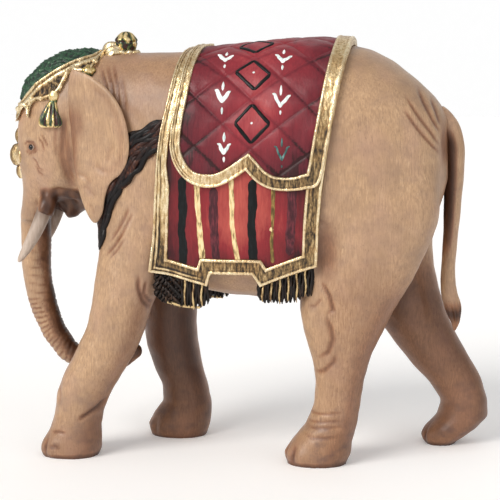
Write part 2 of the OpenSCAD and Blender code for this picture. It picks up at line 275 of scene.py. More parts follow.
# Rump: folds that run down to the root of the tail, and the fold in front of each thigh
for side in (NEAR, FAR):
    creases(side,
            (0.4, 0.5, 0.6, (49.2, 108.4), (52.6, 103.4), (56.4, 98.6), (60.4, 94)),
            (0.4, 0.5, 0.6, (49.6, 112), (53.2, 106.6), (57, 101.4), (60.2, 96.6)),
            (0.45, 0.55, 0.6, (53, 114.6), (55.4, 109.4), (58, 104.4), (60.6, 100)),
            (0.4, 0.5, 0.6, (57, 111), (58.8, 107), (60.4, 102.6)))
    swell((61, side * 8, 97), (3.2, 4, 6), -1.0, 0.25)
    creases(side,
            (0.35, 0.9, 0.25, (23.6, 76), (27, 74.4), (29.4, 71.4)),
            (0.3, 0.7, 0.2, (24.6, 73), (27.2, 72), (28.8, 70)))
    swell((27, side * 25, 66), (3.5, 6, 8), -0.7, 0.2)
    swell((42, side * 24, 84), (9, 8, 12), 0.7)
    swell((-34, side * 19, 86), (6, 8, 14), 0.5)
    swell((57.5, side * 13, 75), (8, 13, 14), 1.3)

# Near hind leg: the kneecap with the fold behind it, the folds of the shin and the ankle
creases(NEAR,
        (0.55, 0.6, 0.7, (25.6, 57), (28.4, 52.6), (29.4, 48.6), (27.6, 47)),
        (0.6, 0.7, 0.6, (27.2, 46.6), (28.8, 43), (29.4, 39.6), (28, 35.6), (24.6, 33.4)),
        (0.3, 0.6, 0.3, (26.2, 52), (24, 49.4), (21.6, 49)),
        (0.5, 0.7, 0.55, (23.6, 28.8), (26.6, 29.8), (29.6, 32.6), (30.4, 35)))
swell((23.4, -18, 43), (4.4, 8, 6), 0.9)
swell((24.6, -18, 36), (3, 6, 2.4), 0.4)
swell((28, -24, 44), (3, 3, 5), -0.35)
for z, bend in [(16.6, 0.5), (14.2, -0.6), (12.4, 0.4), (9.4, 0.8)]:
    crease([(20.4, z + bend), (23.6, z - 0.3), (28, z), (32.5, z + 0.6)], NEAR, 0.28, 0.5, dark=0.3)

# Near front leg: the folds at the elbow, the wrist and above the foot
creases(NEAR,
        (0.5, 0.6, 0.5, (-38.7, 67.4), (-35.6, 72), (-32.4, 78.4)),
        (0.4, 0.5, 0.4, (-37.4, 66.4), (-34.2, 71), (-31.4, 76.6)),
        (0.5, 0.6, 0.5, (-40.2, 63.2), (-37, 66.6), (-34.2, 71)),
        (0.4, 0.5, 0.4, (-38.8, 62.4), (-36, 65.4), (-34, 68.6)),
        (0.55, 0.6, 0.75, (-29.6, 58), (-29.6, 53.6), (-28.6, 49.6), (-27, 46)),
        (0.45, 0.5, 0.6, (-27.4, 56), (-28.2, 52), (-26.4, 47.6)),
        (0.7, 0.6, 0.85, (-49, 12.4), (-46, 14.2), (-43.4, 16), (-40.6, 19)),
        (0.3, 0.5, 0.5, (-57.6, 8), (-55, 8.6), (-52.6, 8)),
        (0.25, 0.6, 0.5, (-57.8, 3.4), (-56, 4), (-54.6, 3.2)),
        (0.3, 0.8, 0.25, (-55.4, 24), (-54.6, 20), (-55.6, 16)))
swell((-51, -22, 22), (4, 4, 6), 0.4)

# Far legs: the folds at their knees, wrists and ankles
creases(FAR,
        (0.35, 0.8, 0.25, (-28.6, 36), (-25, 38.6), (-20.6, 39.6)),
        (0.5, 0.7, 0.6, (-28, 13.4), (-24.6, 13.8), (-20, 12.4), (-15, 13.6)),
        (0.4, 0.6, 0.4, (-28, 21.6), (-24.4, 19.4), (-21, 18.6)),
        (0.35, 0.5, 0.5, (45.6, 37.6), (48.8, 36), (51.6, 34.8)),
        (0.4, 0.7, 0.4, (59, 24), (62, 22.4), (64.6, 21.8)),
        (0.45, 0.6, 0.5, (61, 17), (64.4, 16.4), (67.6, 17.2)),
        (0.35, 0.7, 0.35, (71.4, 19), (74, 17), (76, 17.4)),
        (0.45, 0.55, 0.6, (-60, 64), (-56, 60)))

# Feet: a rim above the sole and five broad nails round the front
for fx, fy in [(-53.2, -16), (-24.6, 16), (23.9, -16), (60.6, 16)]:
    near_foot = np.hypot(X - fx, Y - fy) < 14
    low = near_foot & (Z < 12)
    angle = np.degrees(np.arctan2(Y - fy, -(X - fx)))
    nail = hump(Z - 3, 2.4) * low
    for k in range(-2, 3):
        gap = hump(angle - (k + 0.5) * 30, 5) if k < 2 else 0
        bump = hump(angle - k * 30, 11)
        push += nail * (0.62 * bump - 0.35 * gap)
        stain = np.maximum(stain, nail * 0.35 * gap)
    stain = np.maximum(stain, 0.5 * low * fade(Z, 1.6, 0.2))

# Trunk: rings all the way down, closer and deeper on the inside of the curl
trunk_zone = (X < -36) & (np.abs(Y - 1) < 7) & (Z < 73) & (Y > -6.5)
curl = np.degrees(np.arctan2(Z - 46, -(X + 50)))
upper = trunk_zone & (Z > 48)
for k, z in enumerate(np.linspace(49, 70, 9)):
    ring(upper * fade(X, -70.5, -67) * 0.9, Z - z + 0.12 * (X + 68), 0.14, 0.32, 0.22)
lower = trunk_zone & (Z <= 48)
for k, at in enumerate(np.linspace(-92, 2, 19)):
    ring(lower, (curl - at) * 0.34 + 0.3 * np.sin(Y * 1.3 + k), 0.2, 0.3, 0.35)

# Face: eye socket with lids and folds, cheek, mouth, and the long fold in front of the ear
for side in (NEAR, FAR):
    swell((-65.6, side * 12.4, 95.2), (1.9, 4, 1.4), -0.75, 0.35)
    swell((-66, side * 12.6, 98.6), (3, 4, 1.3), 0.5)
    swell((-64, side * 13, 92.6), (2.8, 4, 1.2), 0.3)
    creases(side,
            (0.32, 0.35, 0.7, (-68.6, 96), (-67.2, 97), (-65.4, 97.2), (-63.6, 96.2)),
            (0.28, 0.35, 0.6, (-68.2, 94.2), (-66.2, 93.4), (-64.4, 93.8), (-63, 95)),
            (0.3, 0.45, 0.5, (-63.2, 98.6), (-61.6, 97), (-60.8, 94)),
            (0.25, 0.4, 0.55, (-61.8, 99.4), (-60.4, 97.4), (-59.6, 95.6)),
            (0.32, 0.4, 0.5, (-65.4, 92.6), (-63.8, 91), (-62.8, 88.8), (-61, 88.2)),
            (0.3, 0.4, 0.45, (-64.4, 90), (-63.2, 88), (-61.4, 86.6)))
    crease([(-54, 107), (-54.6, 99), (-55.4, 93), (-53.8, 87), (-51.6, 81.6)], side, 0.9, 1.3,
           lip=0.25, dark=0.55)
    creases(side,
            (0.35, 0.7, 0.3, (-56.6, 104), (-57.2, 97), (-56.8, 92)),
            (0.7, 0.8, 0.7, (-61, 81.4), (-57.4, 82.4), (-53.4, 81.4), (-50.6, 79.6)),
            (0.5, 0.6, 0.7, (-57.6, 79.6), (-55, 78), (-52, 78.6)))
    swell((-60, side * 10, 87), (5, 5, 6), 0.6)
    swell((-67.6, side * 8, 80), (3, 4, 8), 0.4)
    swell((-53, side * 12, 93), (1.6, 5, 10), -0.3, 0.3)
    creases(side,
            (0.4, 0.5, 0.5, (-43.2, 120), (-40.9, 114.5), (-39.5, 110)),
            (0.4, 0.55, 0.5, (-41.4, 121), (-39, 115), (-37.5, 108)),
            (0.4, 0.5, 0.5, (-39.4, 121), (-37.1, 115), (-35.8, 107)),
            (0.3, 0.7, 0.25, (-36.4, 118), (-34.8, 112), (-34, 106)))
# Painted shade in the mouth under the trunk, laid in dark streaks, and the mouth cut back a little
mouth = (X > -65) & (X < -47) & (Z > 70) & (Z < 84)
streaky = 0.5 + 0.5 * np.sin(X * 1.7 + 1.4 * np.sin(Z * 0.8))
stain = np.maximum(stain, (0.5 + 0.3 * streaky) * mouth * fade(Z, 83.6, 80.5)
                   * fade(X, -64.6, -62.6) * fade(X, -48, -52))
push -= 0.25 * mouth * streaky * fade(Z, 82, 79)

# The knife's own unevenness, then the wood is cut back to the form and the soles stood flat
wander = (np.sin(X * 0.31 + 1.3 * np.sin(Z * 0.17)) * np.sin(Z * 0.27 + Y * 0.2)
          + 0.6 * np.sin(X * 0.83 + Z * 0.45) * np.sin(Z * 0.71 - Y * 0.5))
push += 0.1 * wander
push = np.where(Z < 0.45, 0, push)
Z[:] = np.where(Z < 0.45, 0, Z)
end_carving(carving)
P, N = points_of(carving), normals_of(carving)
X, Y, Z = P.T

# Painted shade where the wood is shut in, between the legs, under the belly and in folds, found by casting
# rays out from the surface
chosen = np.random.default_rng(4).choice(len(P), 9000, replace=False)
turns = np.arange(40) * 2.399963
heights = 1 - (np.arange(40) + 0.5) / 20
across = np.sqrt(1 - heights ** 2)
rays = np.stack([across * np.cos(turns), across * np.sin(turns), heights], -1)
nearby = KDTree(len(chosen))
shut_in = np.zeros(len(chosen))
for i, at in enumerate(chosen):
    outward_rays = rays[rays @ N[at] > 0.2]
    start = Vector(P[at] + N[at] * 0.5) / 1000
    met = [carving.ray_cast(start, Vector(ray), distance=0.045)[0] for ray in outward_rays]
    shut_in[i] = sum(met) / len(met)
    nearby.insert(P[at], i)
nearby.balance()
shade = np.array([np.mean([shut_in[i] for _, i, _ in nearby.find_n(p, 5)]) for p in P])
stain = np.maximum(stain, 0.8 * fade(shade, 0.12, 0.75))
# Painted shade on the faces that turn inwards between the legs, deeper lower down
inner = ((1 - 0.7 * fade(X, 10, 30)) * (np.abs(Y) > 4) * fade(Z, 66, 52)
         * fade(-N[:, 1] * np.sign(Y), -0.1, 0.6))
stain = np.maximum(stain, 0.42 * inner * fade(Z, 0, 30) + 0.2 * inner)
# Painted shade on the rump round the root of the tail
stain = np.maximum(stain, 0.75 * hump(Y, 5) * fade(X, 56.5, 60)
                   * fade(Z, 70, 78) * fade(Z, 105, 99))
# Stain darker towards the feet
stain += 0.1 * fade(Z, 20, 4)
# Painted shade on the rear faces low on the legs
stain += 0.14 * fade(N[:, 0], 0.1, 0.8) * fade(Z, 62, 44)
# Darker over the hind quarters and on top of the neck
stain += 0.09 * fade(X, 20, 32) * fade(Z, 70, 50)
stain += 0.09 * fade(Z, 96, 110) * fade(X, -12, -22) * fade(X, -52, -42)
note(carving, "stain", stain)


def cut(obj, point, normal, keep_outer):
    """Saw an object along a plane (mm) and close the cut."""
    take(obj)
    bpy.ops.object.mode_set(mode="EDIT")
    bpy.ops.mesh.select_all(action="SELECT")
    bpy.ops.mesh.bisect(plane_co=Vector(point) / 1000, plane_no=normal, use_fill=True,
                        clear_inner=keep_outer, clear_outer=not keep_outer)
    bpy.ops.object.mode_set(mode="OBJECT")


def saw(obj, tool, operation):
    """Cut one closed solid with another."""
    finish_with(obj, "BOOLEAN", object=tool, operation=operation, solver="MANIFOLD")


def loose_parts(obj):
    take(obj)
    bpy.ops.mesh.separate(type="LOOSE")
    return list(bpy.context.selected_objects)


def probe(x, z, side):
    """Where the carved surface (mm) is met, coming in level from one side."""
    spot = carving.ray_cast((x / 1000, side * 0.05, z / 1000), (0, -side, 0))[1]
    return np.array(spot) * 1000


def set_edges(obj, degrees):
    """Smooth shading that keeps every edge sharper than this."""
    take(obj)
    bpy.ops.object.shade_smooth_by_angle(angle=math.radians(degrees))


# Sawing at the neck, at the top of the trunk and at the four legs
take()
bpy.ops.mesh.primitive_cube_add(size=1)
head_space = bpy.context.object
place(head_space, np.where(points_of(head_space) < 0, (-120, -60, TRUNK_JOINT), (NECK_JOINT, 60, 160)))
head = linked("head_carved", carving.data.copy())
saw(head, head_space, "INTERSECT")
below_head = linked("below_head", carving.data.copy())
cut(below_head, (0, 0, TRUNK_JOINT), (0, 0, 1), False)
trunk = None
for part in loose_parts(below_head):
    x, _, z = points_of(part).T
    if x.min() < -64 and z.max() > 70:
        trunk = part
    else:
        bpy.data.objects.remove(part)
below_legs = linked("below_legs", carving.data.copy())
cut(below_legs, (0, 0, LEG_JOINT), (0, 0, 1), False)
legs = {}
for part in loose_parts(below_legs):
    x, y, z = points_of(part).T
    if abs(y.mean()) > 9 and z.min() < 1:
        legs[("leg_front_" if x.mean() < 0 else "leg_hind_") + ("left" if y.mean() < 0 else "right")] = part
    else:
        bpy.data.objects.remove(part)
torso = linked("torso_carved", carving.data.copy())
saw(torso, head_space, "DIFFERENCE")
cut(torso, (0, 0, LEG_JOINT), (0, 0, 1), True)
torso = keep_largest(torso)
bpy.data.objects.remove(head_space)
body_pieces = [("head", head), ("trunk", trunk), ("torso", torso)] + sorted(legs.items())
for node, piece in body_pieces:
    piece.name = node + "_carved"
    set_edges(piece, 50)


def to_linear(hex_colour):
    """An sRGB colour such as "#b9936f" as the linear colour that shaders take."""
    channels = [int(hex_colour[i:i + 2], 16) / 255 for i in (1, 3, 5)]
    return [c / 12.92 if c <= 0.04045 else ((c + 0.055) / 1.055) ** 2.4 for c in channels] + [1]


def new_finish(name):
    """An empty material with its shader and output; returns its node tree and the shader."""
    material = bpy.data.materials.new(name)
    material.use_nodes = True
    tree = material.node_tree
    tree.nodes.clear()
    shader = tree.nodes.new("ShaderNodeBsdfPrincipled")
    out = tree.nodes.new("ShaderNodeOutputMaterial")
    tree.links.new(shader.outputs[0], out.inputs["Surface"])
    return material, tree, shader


def feed(tree, socket, value):
    """Give an input a value, a colour or a link."""
    if isinstance(value, bpy.types.NodeSocket):
        tree.links.new(value, socket)
    else:
        socket.default_value = to_linear(value) if isinstance(value, str) else value


def settle(tree, node, **inputs):
    """Feed a node's inputs by name, with _ for a space."""
    for key, value in inputs.items():
        feed(tree, node.inputs[key.replace("_", " ")], value)


def add(tree, kind, settings=None, **inputs):
    """Add a node: its settings, then its inputs by name."""
    node = tree.nodes.new("ShaderNode" + kind)
    for key, value in (settings or {}).items():
        setattr(node, key, value)
    settle(tree, node, **inputs)
    return node


def sums(tree, operation, *values):
    """A sum of numbers: ADD, SUBTRACT, MULTIPLY, or MULTIPLY_ADD (times the second, plus the third)."""
    node = add(tree, "Math", {"operation": operation})
    for socket, value in zip(node.inputs, values):
        feed(tree, socket, value)
    return node.outputs[0]


def carved_place(tree):
    """The place on the piece, and how dark its stain, glaze or painted shade is there, as kept on the mesh.
    """
    return (add(tree, "TexCoord").outputs["Object"],
            add(tree, "Attribute", {"attribute_name": "stain"}).outputs["Fac"])


def roughen(tree, shader, height, strength, distance):
    bump = add(tree, "Bump", Height=height, Strength=strength, Distance=distance)
    settle(tree, shader, Normal=bump.outputs[0])


def ramp(tree, fac, *stops):
    """A colour ramp with (position, hex colour) stops, or (position, number) for a grey one."""
    node = add(tree, "ValToRGB", Fac=fac)
    elements = node.color_ramp.elements
    while len(elements) < len(stops):
        elements.new(0.5)
    for element, (at, colour) in zip(elements, stops):
        element.position = at
        element.color = to_linear(colour) if isinstance(colour, str) else (colour,) * 3 + (1,)
    return node.outputs["Color"]


def mixed(tree, fac, a, b, blend="MIX"):
    """Mix two colours."""
    node = tree.nodes.new("ShaderNodeMix")
    node.data_type = "RGBA"
    node.blend_type = blend
    for socket, value in ((0, fac), (6, a), (7, b)):
        feed(tree, node.inputs[socket], value)
    return node.outputs[2]


def noise(tree, coords, scale, stretch=(1, 1, 1), detail=3, rough=0.55, shift=0):
    """Noise of this many spots to the metre, stretched along an axis; returns its value."""
    moved = add(tree, "Mapping", Vector=coords, Scale=stretch, Location=(shift, shift * 0.7, shift * 1.3))
    return add(tree, "TexNoise", Vector=moved.outputs[0], Scale=scale, Detail=detail,
               Roughness=rough).outputs["Fac"]


def make_stained_wood():
    """Pale close-grained hardwood, stained tan, rubbed back and waxed: fine upright fibres with
    short darker pores, cloudy staining, darker staining in the cuts, painted shade in the hollows and under
    the body, and a soft sheen."""
    material, tree, shader = new_finish("stained and waxed hardwood")
    spot, stain_and_shade_fac = carved_place(tree)
    tan = "#b79370"
    fibres = noise(tree, spot, 2200, (1, 1, 0.16), 4, 0.6)          # fibres 0.45 mm apart
    pores = noise(tree, spot, 3400, (1, 1, 0.3), 2, 0.7, 3)         # pores 0.3 mm wide, 1 mm long
    figure = noise(tree, spot, 300, (1, 1, 0.25), 3, 0.6, 5)        # bands of 3 mm
    cloud = noise(tree, spot, 70, (1, 1, 0.8), 3, 0.55, 7)          # stain patches of 15 mm
    blush = noise(tree, spot, 110, (1, 1, 0.6), 2, 0.5, 11)
    base = ramp(tree, fibres, (0.3, "#98775a"), (0.52, tan), (0.75, "#cdab88"))
    base = mixed(tree, ramp(tree, figure, (0.35, 0.0), (0.7, 0.55)), base, tan)
    base = mixed(tree, ramp(tree, cloud, (0.42, 0.0), (0.66, 0.62)), base, "#99795f")
    base = mixed(tree, ramp(tree, blush, (0.48, 0.0), (0.75, 0.45)), base, "#b38d78")
    base = mixed(tree, ramp(tree, pores, (0.58, 0.0), (0.72, 0.6)), base, "#80624b")
    height_up = add(tree, "SeparateXYZ", Vector=spot).outputs["Z"]
    near_foot = add(tree, "MapRange", Value=height_up, From_Min=0.004, From_Max=0.026, To_Min=0.85,
                    To_Max=0.3).outputs[0]
    smear = ramp(tree, noise(tree, spot, 190, (1, 1, 1.5), 4, 0.6, 17), (0.46, 0.0), (0.7, 1.0))
    smear = sums(tree, "MULTIPLY", smear, near_foot)
    base = mixed(tree, smear, base, "#82675a")                     # stain rubbed unevenly, most at the feet
    # Darker by the stain and painted shade kept on the mesh
    tone = ramp(tree, stain_and_shade_fac, (0.0, "#ffffff"), (0.2, "#cfb8ae"), (0.4, "#a58a7a"), (0.7, "#70533f"),
                (1.0, "#40291b"))
    base = mixed(tree, 1.0, base, tone, "MULTIPLY")
    settle(tree, shader, Base_Color=base, Roughness=ramp(tree, fibres, (0.3, 0.5), (0.7, 0.4)))
    height = sums(tree, "ADD", fibres, pores)
    roughen(tree, shader, height, 0.16, 0.0003)
    settle(tree, shader, IOR=1.5, Coat_Weight=0.12, Coat_Roughness=0.35)
    return material


stained_wood = make_stained_wood()


def fit(piece, material, slot, *replaced):
    """Give a finished piece its material, hang it on the root body and hide the parts it stands for."""
    piece.data.materials.clear()
    piece.data.materials.append(material)
    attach(piece, "root")
    if replaced:
        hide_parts(*replaced)


for node, piece in body_pieces:
    fit(piece, stained_wood, "stained_wood", node)


# ---------------------------------------------------------------- ears
# Each ear is a thin flap carved apart and let into a slot behind the cheek, standing out from
# the neck at 20 degrees. It is hollowed a little, with a rolled rim and soft folds below.
EAR_EDGE = [(-51.4, 118.6), (-47.4, 118.4), (-43, 116.2), (-38.4, 112.6), (-34.6, 107.2),
            (-32.5, 100.4), (-32.4, 94), (-34.6, 88.6), (-38.6, 85.2), (-40.4, 81), (-41.4, 76),
            (-43.6, 72.8), (-46, 74.4), (-48.6, 80.4), (-50.4, 88), (-51.6, 98), (-52.4, 109)]
EAR_THICK, EAR_SLOPE = 2.3, math.tan(math.radians(20))


def lay(name, points, close=True):
    """A grid shaped to rows of points (mm), its doubles merged and any open ends closed."""
    take()
    rows, columns = points.shape[:2]
    bpy.ops.mesh.primitive_grid_add(x_subdivisions=columns - 1, y_subdivisions=rows - 1)
    obj = bpy.context.object
    obj.name = name
    obj.data.uv_layers.remove(obj.data.uv_layers[0])
    place(obj, points.reshape(-1, 3))
    bpy.ops.object.mode_set(mode="EDIT")
    bpy.ops.mesh.select_all(action="SELECT")
    bpy.ops.mesh.remove_doubles(threshold=2e-6)
    if close:
        bpy.ops.mesh.select_all(action="SELECT")
        bpy.ops.mesh.fill_holes(sides=0)
    bpy.ops.mesh.select_all(action="SELECT")
    bpy.ops.mesh.normals_make_consistent(inside=False)
    bpy.ops.object.mode_set(mode="OBJECT")
    return obj


def curve(points, steps=6, closed=False):
    """A smooth line through the given points."""
    p = np.array(points, float)
    p = np.vstack([p[-1], p, p[:2]]) if closed else np.vstack([p[0], p, p[-1]])
    out = []
    for a, b, c, d in zip(p[:-3], p[1:-2], p[2:-1], p[3:]):
        for t in np.arange(steps) / steps:
            out.append(0.5 * (2 * b + (c - a) * t + (2 * a - 5 * b + 4 * c - d) * t ** 2
                              + (3 * b - a - 3 * c + d) * t ** 3))
    return np.array(out if closed else out + [p[-2]])


def smooth_loop(points, count):
    """Evenly spaced points round a smooth closed line."""
    p = curve(points, 8, closed=True)
    p = np.vstack([p, p[0]])
    run = np.append(0, np.cumsum(np.linalg.norm(np.diff(p, axis=0), axis=1)))
    at = np.linspace(0, run[-1], count + 1)
    return np.stack([np.interp(at, run, p[:, k]) for k in range(p.shape[1])], -1)


edge = smooth_loop(EAR_EDGE, 190)
middle = np.array([-43.5, 98.0])
reach = 1 - np.linspace(1, 0, 34) ** 1.6
reach[0] = 0.012
sheets = []
for face, steps in ((1, reach), (-1, reach[::-1])):
    for r in steps:
        flat = middle + r * (edge - middle)
        thin = EAR_THICK / 2 * (1 - r ** 7) ** 0.5 * (0.82 + 0.18 * fade(flat[:, 0], -40, -52))
        bowl = 1.3 * (np.hypot((flat[:, 0] + 41) / 11, (flat[:, 1] - 99) / 20)) ** 2 - 0.6
        lobe = -1.2 * fade(flat[:, 1], 88, 74)
        y = 15.4 + (flat[:, 0] + 54) * EAR_SLOPE + np.clip(bowl, -0.6, 1.4) * 0.7 + lobe + face * thin
        sheets.append(np.stack([flat[:, 0], y, flat[:, 1]], -1))
ear_points = np.array(sheets)


for side, word in SIDES:
    ear = lay("ear_" + word + "_carved", ear_points * (1, side, 1))
    set_edges(ear, 80)
    start_carving(ear)
    outside = N[:, 1] * side > 0
    rim, _ = distance_to(edge.tolist(), X, Z)
    back = fade(X, -47, -42) * fade(Z, 84, 92)
    push += outside * back * (0.22 * hump(rim - 0.9, 0.7)
                              - 0.16 * hump(rim - 2.6, 1.0))
    stain = np.maximum(stain, 0.08 * back * hump(rim - 2.4, 1.2))
    # Painted shade on the outer face of the ear along its root at the cheek
    stain = np.maximum(stain, 0.26 * outside * fade(X, -47.6, -51.6)
                       * fade(Z, 78, 88) * fade(Z, 111, 104))
    creases(side,
            (0.4, 0.9, 0.14, (-49.4, 88), (-47, 87), (-44.6, 84.4)),
            (0.35, 0.9, 0.12, (-48.6, 83.4), (-46.4, 83.6), (-43, 80.6)),
            (0.3, 0.9, 0.14, (-44, 91), (-41, 88.8), (-38.6, 88.8)),
            (0.3, 0.7, 0.12, (-46.6, 79), (-45, 77.6), (-44, 75)),
            (0.3, 1.0, 0.3, (-52, 92), (-51, 97), (-51.6, 104)),
            (0.22, 1.0, 0.12, (-36.6, 97), (-38.6, 95), (-39.6, 91)))
    swell((-49.6, side * 17, 103), (2.4, 6, 5), -0.4, 0.16)
    swell((-47, side * 18, 93), (3.5, 6, 7), 0.3)
    end_carving(ear)
    fit(ear, stained_wood, "stained_wood", "ear_" + word)

# ---------------------------------------------------------------- tail
# The tail is turned and carved apart, with a tenon glued into the rump. It is broad at the
# root, hangs clear of the thighs, and ends in a tuft of coarse hair stained dark.
TAIL_LINE = [(58.6, 106.4, 2.6), (61.2, 103.6, 3.2), (63.6, 98.4, 3.3), (64.2, 91, 3.2),
             (64, 83, 2.9), (63.7, 74, 2.5), (63.2, 65, 2.2), (62.8, 57, 2.2), (63.2, 51, 2.5),
             (64.4, 46.6, 2.4), (65.2, 42, 1.3), (65, 39, 0.3)]


def tube(name, line, around=24, steps=5, shape=None):
    """A round rod along a smooth line of (x, y, z, radius), with optional reshaping."""
    line = curve(line, steps)
    way = np.gradient(line[:, :3], axis=0)
    way /= np.linalg.norm(way, axis=1)[:, None]
    first = np.cross(way, np.array([0.02, 1, 0.03]))
    first /= np.linalg.norm(first, axis=1)[:, None]
    second = np.cross(way, first)
    turn = np.radians(np.linspace(0, 360, around + 1))
    radius = np.repeat(line[:, 3:4], around + 1, axis=1)
    if shape is not None:
        radius = radius * shape(np.linspace(0, 1, len(line))[:, None], turn[None, :])
    points = line[:, None, :3] + radius[:, :, None] * (np.cos(turn)[None, :, None] * first[:, None]
                                                       + np.sin(turn)[None, :, None] * second[:, None])
    points[:, -1] = points[:, 0]
    return lay(name, points)


def hair(t, turn):
    """Plain down to the tuft, then grooved lengthwise."""
    return 1 + 0.16 * fade(t, 0.76, 0.86) * np.sin(9 * turn + 9 * t) + 0.02 * np.sin(60 * t) * (t < 0.7)


tail = tube("tail_carved", [(x, 0, z, r) for x, z, r in TAIL_LINE], 54, 12, hair)
set_edges(tail, 60)
start_carving(tail)
stain = 0.2 * fade(Z, 50, 46) + 0.6 * hump(Z - 44.2, 1.8)
# Painted shade down the side of the tail that faces the rump
stain = np.maximum(stain, 0.75 * fade(-N[:, 0], -0.5, 0.2) * fade(Z, 58, 76)
                   * fade(Z, 103, 97))
end_carving(tail)
fit(tail, stained_wood, "stained_wood", "tail")

# ---------------------------------------------------------------- tusks and eyes
# The tusks are whittled from a lighter wood, painted ivory and set in sockets beside the mouth.
# Each eye is a small bead let into the socket: ivory with a black, varnished pupil.
TUSK_LINE = [(-60.6, -7.8, 80, 2.3), (-62.4, -8.4, 76, 2.35), (-64.8, -9.1, 70, 2.15),
             (-67.3, -9.7, 65, 1.75), (-69.3, -10.1, 61.6, 1.2), (-70.4, -10.2, 59.9, 0.75),
             (-70.9, -10.2, 59.3, 0.2)]


def make_ivory_paint():
    """Matt ivory paint over wood: warm white, greyer in long soft brush marks, browner at the root."""
    material, tree, shader = new_finish("ivory oil paint")
    spot, stain_and_shade_fac = carved_place(tree)
    streaks = noise(tree, spot, 1100, (1, 1, 0.15), 3)             # brush marks 0.9 mm wide
    blotch = noise(tree, spot, 160, (1, 1, 0.4), 2, 0.5, 4)        # patches of 6 mm
    base = ramp(tree, streaks, (0.3, "#a99483"), (0.55, "#c2ae9e"), (0.8, "#d9ccbf"))
    base = mixed(tree, ramp(tree, blotch, (0.4, 0.0), (0.7, 0.5)), base, "#b3a79c")
    base = mixed(tree, 1.0, base, ramp(tree, stain_and_shade_fac, (0.0, "#ffffff"), (0.5, "#8a7464"), (1.0, "#0c0a09")),
                 "MULTIPLY")
    settle(tree, shader, Base_Color=base, Roughness=ramp(tree, stain_and_shade_fac, (0.5, 0.45), (0.9, 0.08)))
    roughen(tree, shader, streaks, 0.2, 0.0002)
    return material


ivory_paint = make_ivory_paint()
for side, word in SIDES:
    tusk = tube("tusk_" + word + "_carved", [(x, -side * y, z, r) for x, y, z, r in TUSK_LINE], 28, 8)
    set_edges(tusk, 60)
    start_carving(tusk)
    stain = 0.25 * fade(Z, 71, 75) + 0.1 * fade(Z, 64, 70)
    end_carving(tusk)
    fit(tusk, ivory_paint, "ivory_paint", "tusk_" + word)

    take()
    bpy.ops.mesh.primitive_uv_sphere_add(segments=40, ring_count=28, radius=0.0011)
    eye = bpy.context.object
    eye.name = "eye_" + word
    place(eye, points_of(eye) * (1.05, 1, 0.92))
    start_carving(eye)
    look = np.array([-0.62, side * 0.9, 0.06])
    facing = (P / np.linalg.norm(P, axis=1)[:, None]) @ (look / np.linalg.norm(look))
    stain = fade(facing, 0.5, 0.6)
    P = P + probe(-65.6, 95.3, side) - (0, side * 0.25, 0)
    end_carving(eye)
    bpy.ops.object.shade_smooth()
    fit(eye, ivory_paint, "ivory_paint")

# ---------------------------------------------------------------- how the cloths hang
# Both saddle cloths are carved from the same block as the body. They follow the back and then
# fall straight from the widest part of the flanks to the hem. A place on them is given by x
# along the figure and s, the way down over the girth from the spine, less than zero on the left.
BACK = [(-44, 66, 123.6, 17), (-36, 60, 124.2, 20), (-26, 55, 124.4, 23.2), (-14, 51.5, 124.2, 25.2),
        (-4, 49.8, 124.8, 26), (8, 49, 126.2, 26.3), (20, 49, 127, 26.3), (31.4, 50.3, 126.8, 25.9),
        (38, 52, 125.4, 25.2), (46, 56, 121.2, 23.6)]
HEM_LEAN, HEM_Z = 2.6, 54
FULLNESS = 2.8                      # of the barrel's cross-section: 2 is an ellipse
STEP = 0.5
XS = np.arange(-42, 44.1, STEP)
SS = np.arange(0, 92.1, STEP)
sections = curve(BACK, 8)
hang = np.zeros((len(XS), len(SS), 3))
for i, x in enumerate(XS):
    low, high, half = (np.interp(x, sections[:, 0], sections[:, k]) for k in (1, 2, 3))
    t = np.radians(np.linspace(90, -75, 220))
    y = half * np.abs(np.cos(t)) ** (2 / FULLNESS)
    z = (low + high) / 2 + (high - low) / 2 * np.sign(np.sin(t)) * np.abs(np.sin(t)) ** (2 / FULLNESS)
    hem_y = half - HEM_LEAN
    steep = np.where((z > 62) & (t < 0.3), (y - hem_y) / np.maximum(z - HEM_Z, 1), -9)
    leave = int(np.argmax(steep))
    fall = np.arange(z[leave] - 1, 40, -1.0)
    y = np.append(y[:leave + 1], hem_y + (fall - HEM_Z) * (y[leave] - hem_y) / (z[leave] - HEM_Z))
    z = np.append(z[:leave + 1], fall)
    girth = np.append(0, np.cumsum(np.hypot(np.diff(y), np.diff(z))))
    hang[i] = np.stack([np.full(len(SS), x), np.interp(SS, girth, y), np.interp(SS, girth, z)], -1)
out_x, out_s = np.gradient(hang, axis=0), np.gradient(hang, axis=1)
outward = np.cross(out_s, out_x)
outward *= np.sign(outward[:, :, 1] + outward[:, :, 2])[:, :, None]
outward /= np.linalg.norm(outward, axis=2)[:, :, None]


def read(table, x, s):
    """The value of a table over x and s, between its own points."""
    i = np.clip((np.asarray(x, float) - XS[0]) / STEP, 0, len(XS) - 1.001)
    j = np.clip(np.abs(np.asarray(s, float)) / STEP, 0, len(SS) - 1.001)
    i0, j0 = i.astype(int), j.astype(int)
    u, v = i - i0, j - j0
    if table.ndim == 3:
        u, v = u[..., None], v[..., None]
    return ((1 - u) * (1 - v) * table[i0, j0] + u * (1 - v) * table[i0 + 1, j0]
            + (1 - u) * v * table[i0, j0 + 1] + u * v * table[i0 + 1, j0 + 1])


def girth_at(x, z):
    """How far down over the girth the cloth is at height z."""
    x, z = np.atleast_1d(x).astype(float), np.atleast_1d(z).astype(float)
    return np.array([np.interp(-zz, -read(hang[:, :, 2], np.full(len(SS), xx), SS), SS)
                     for xx, zz in zip(x, z)])


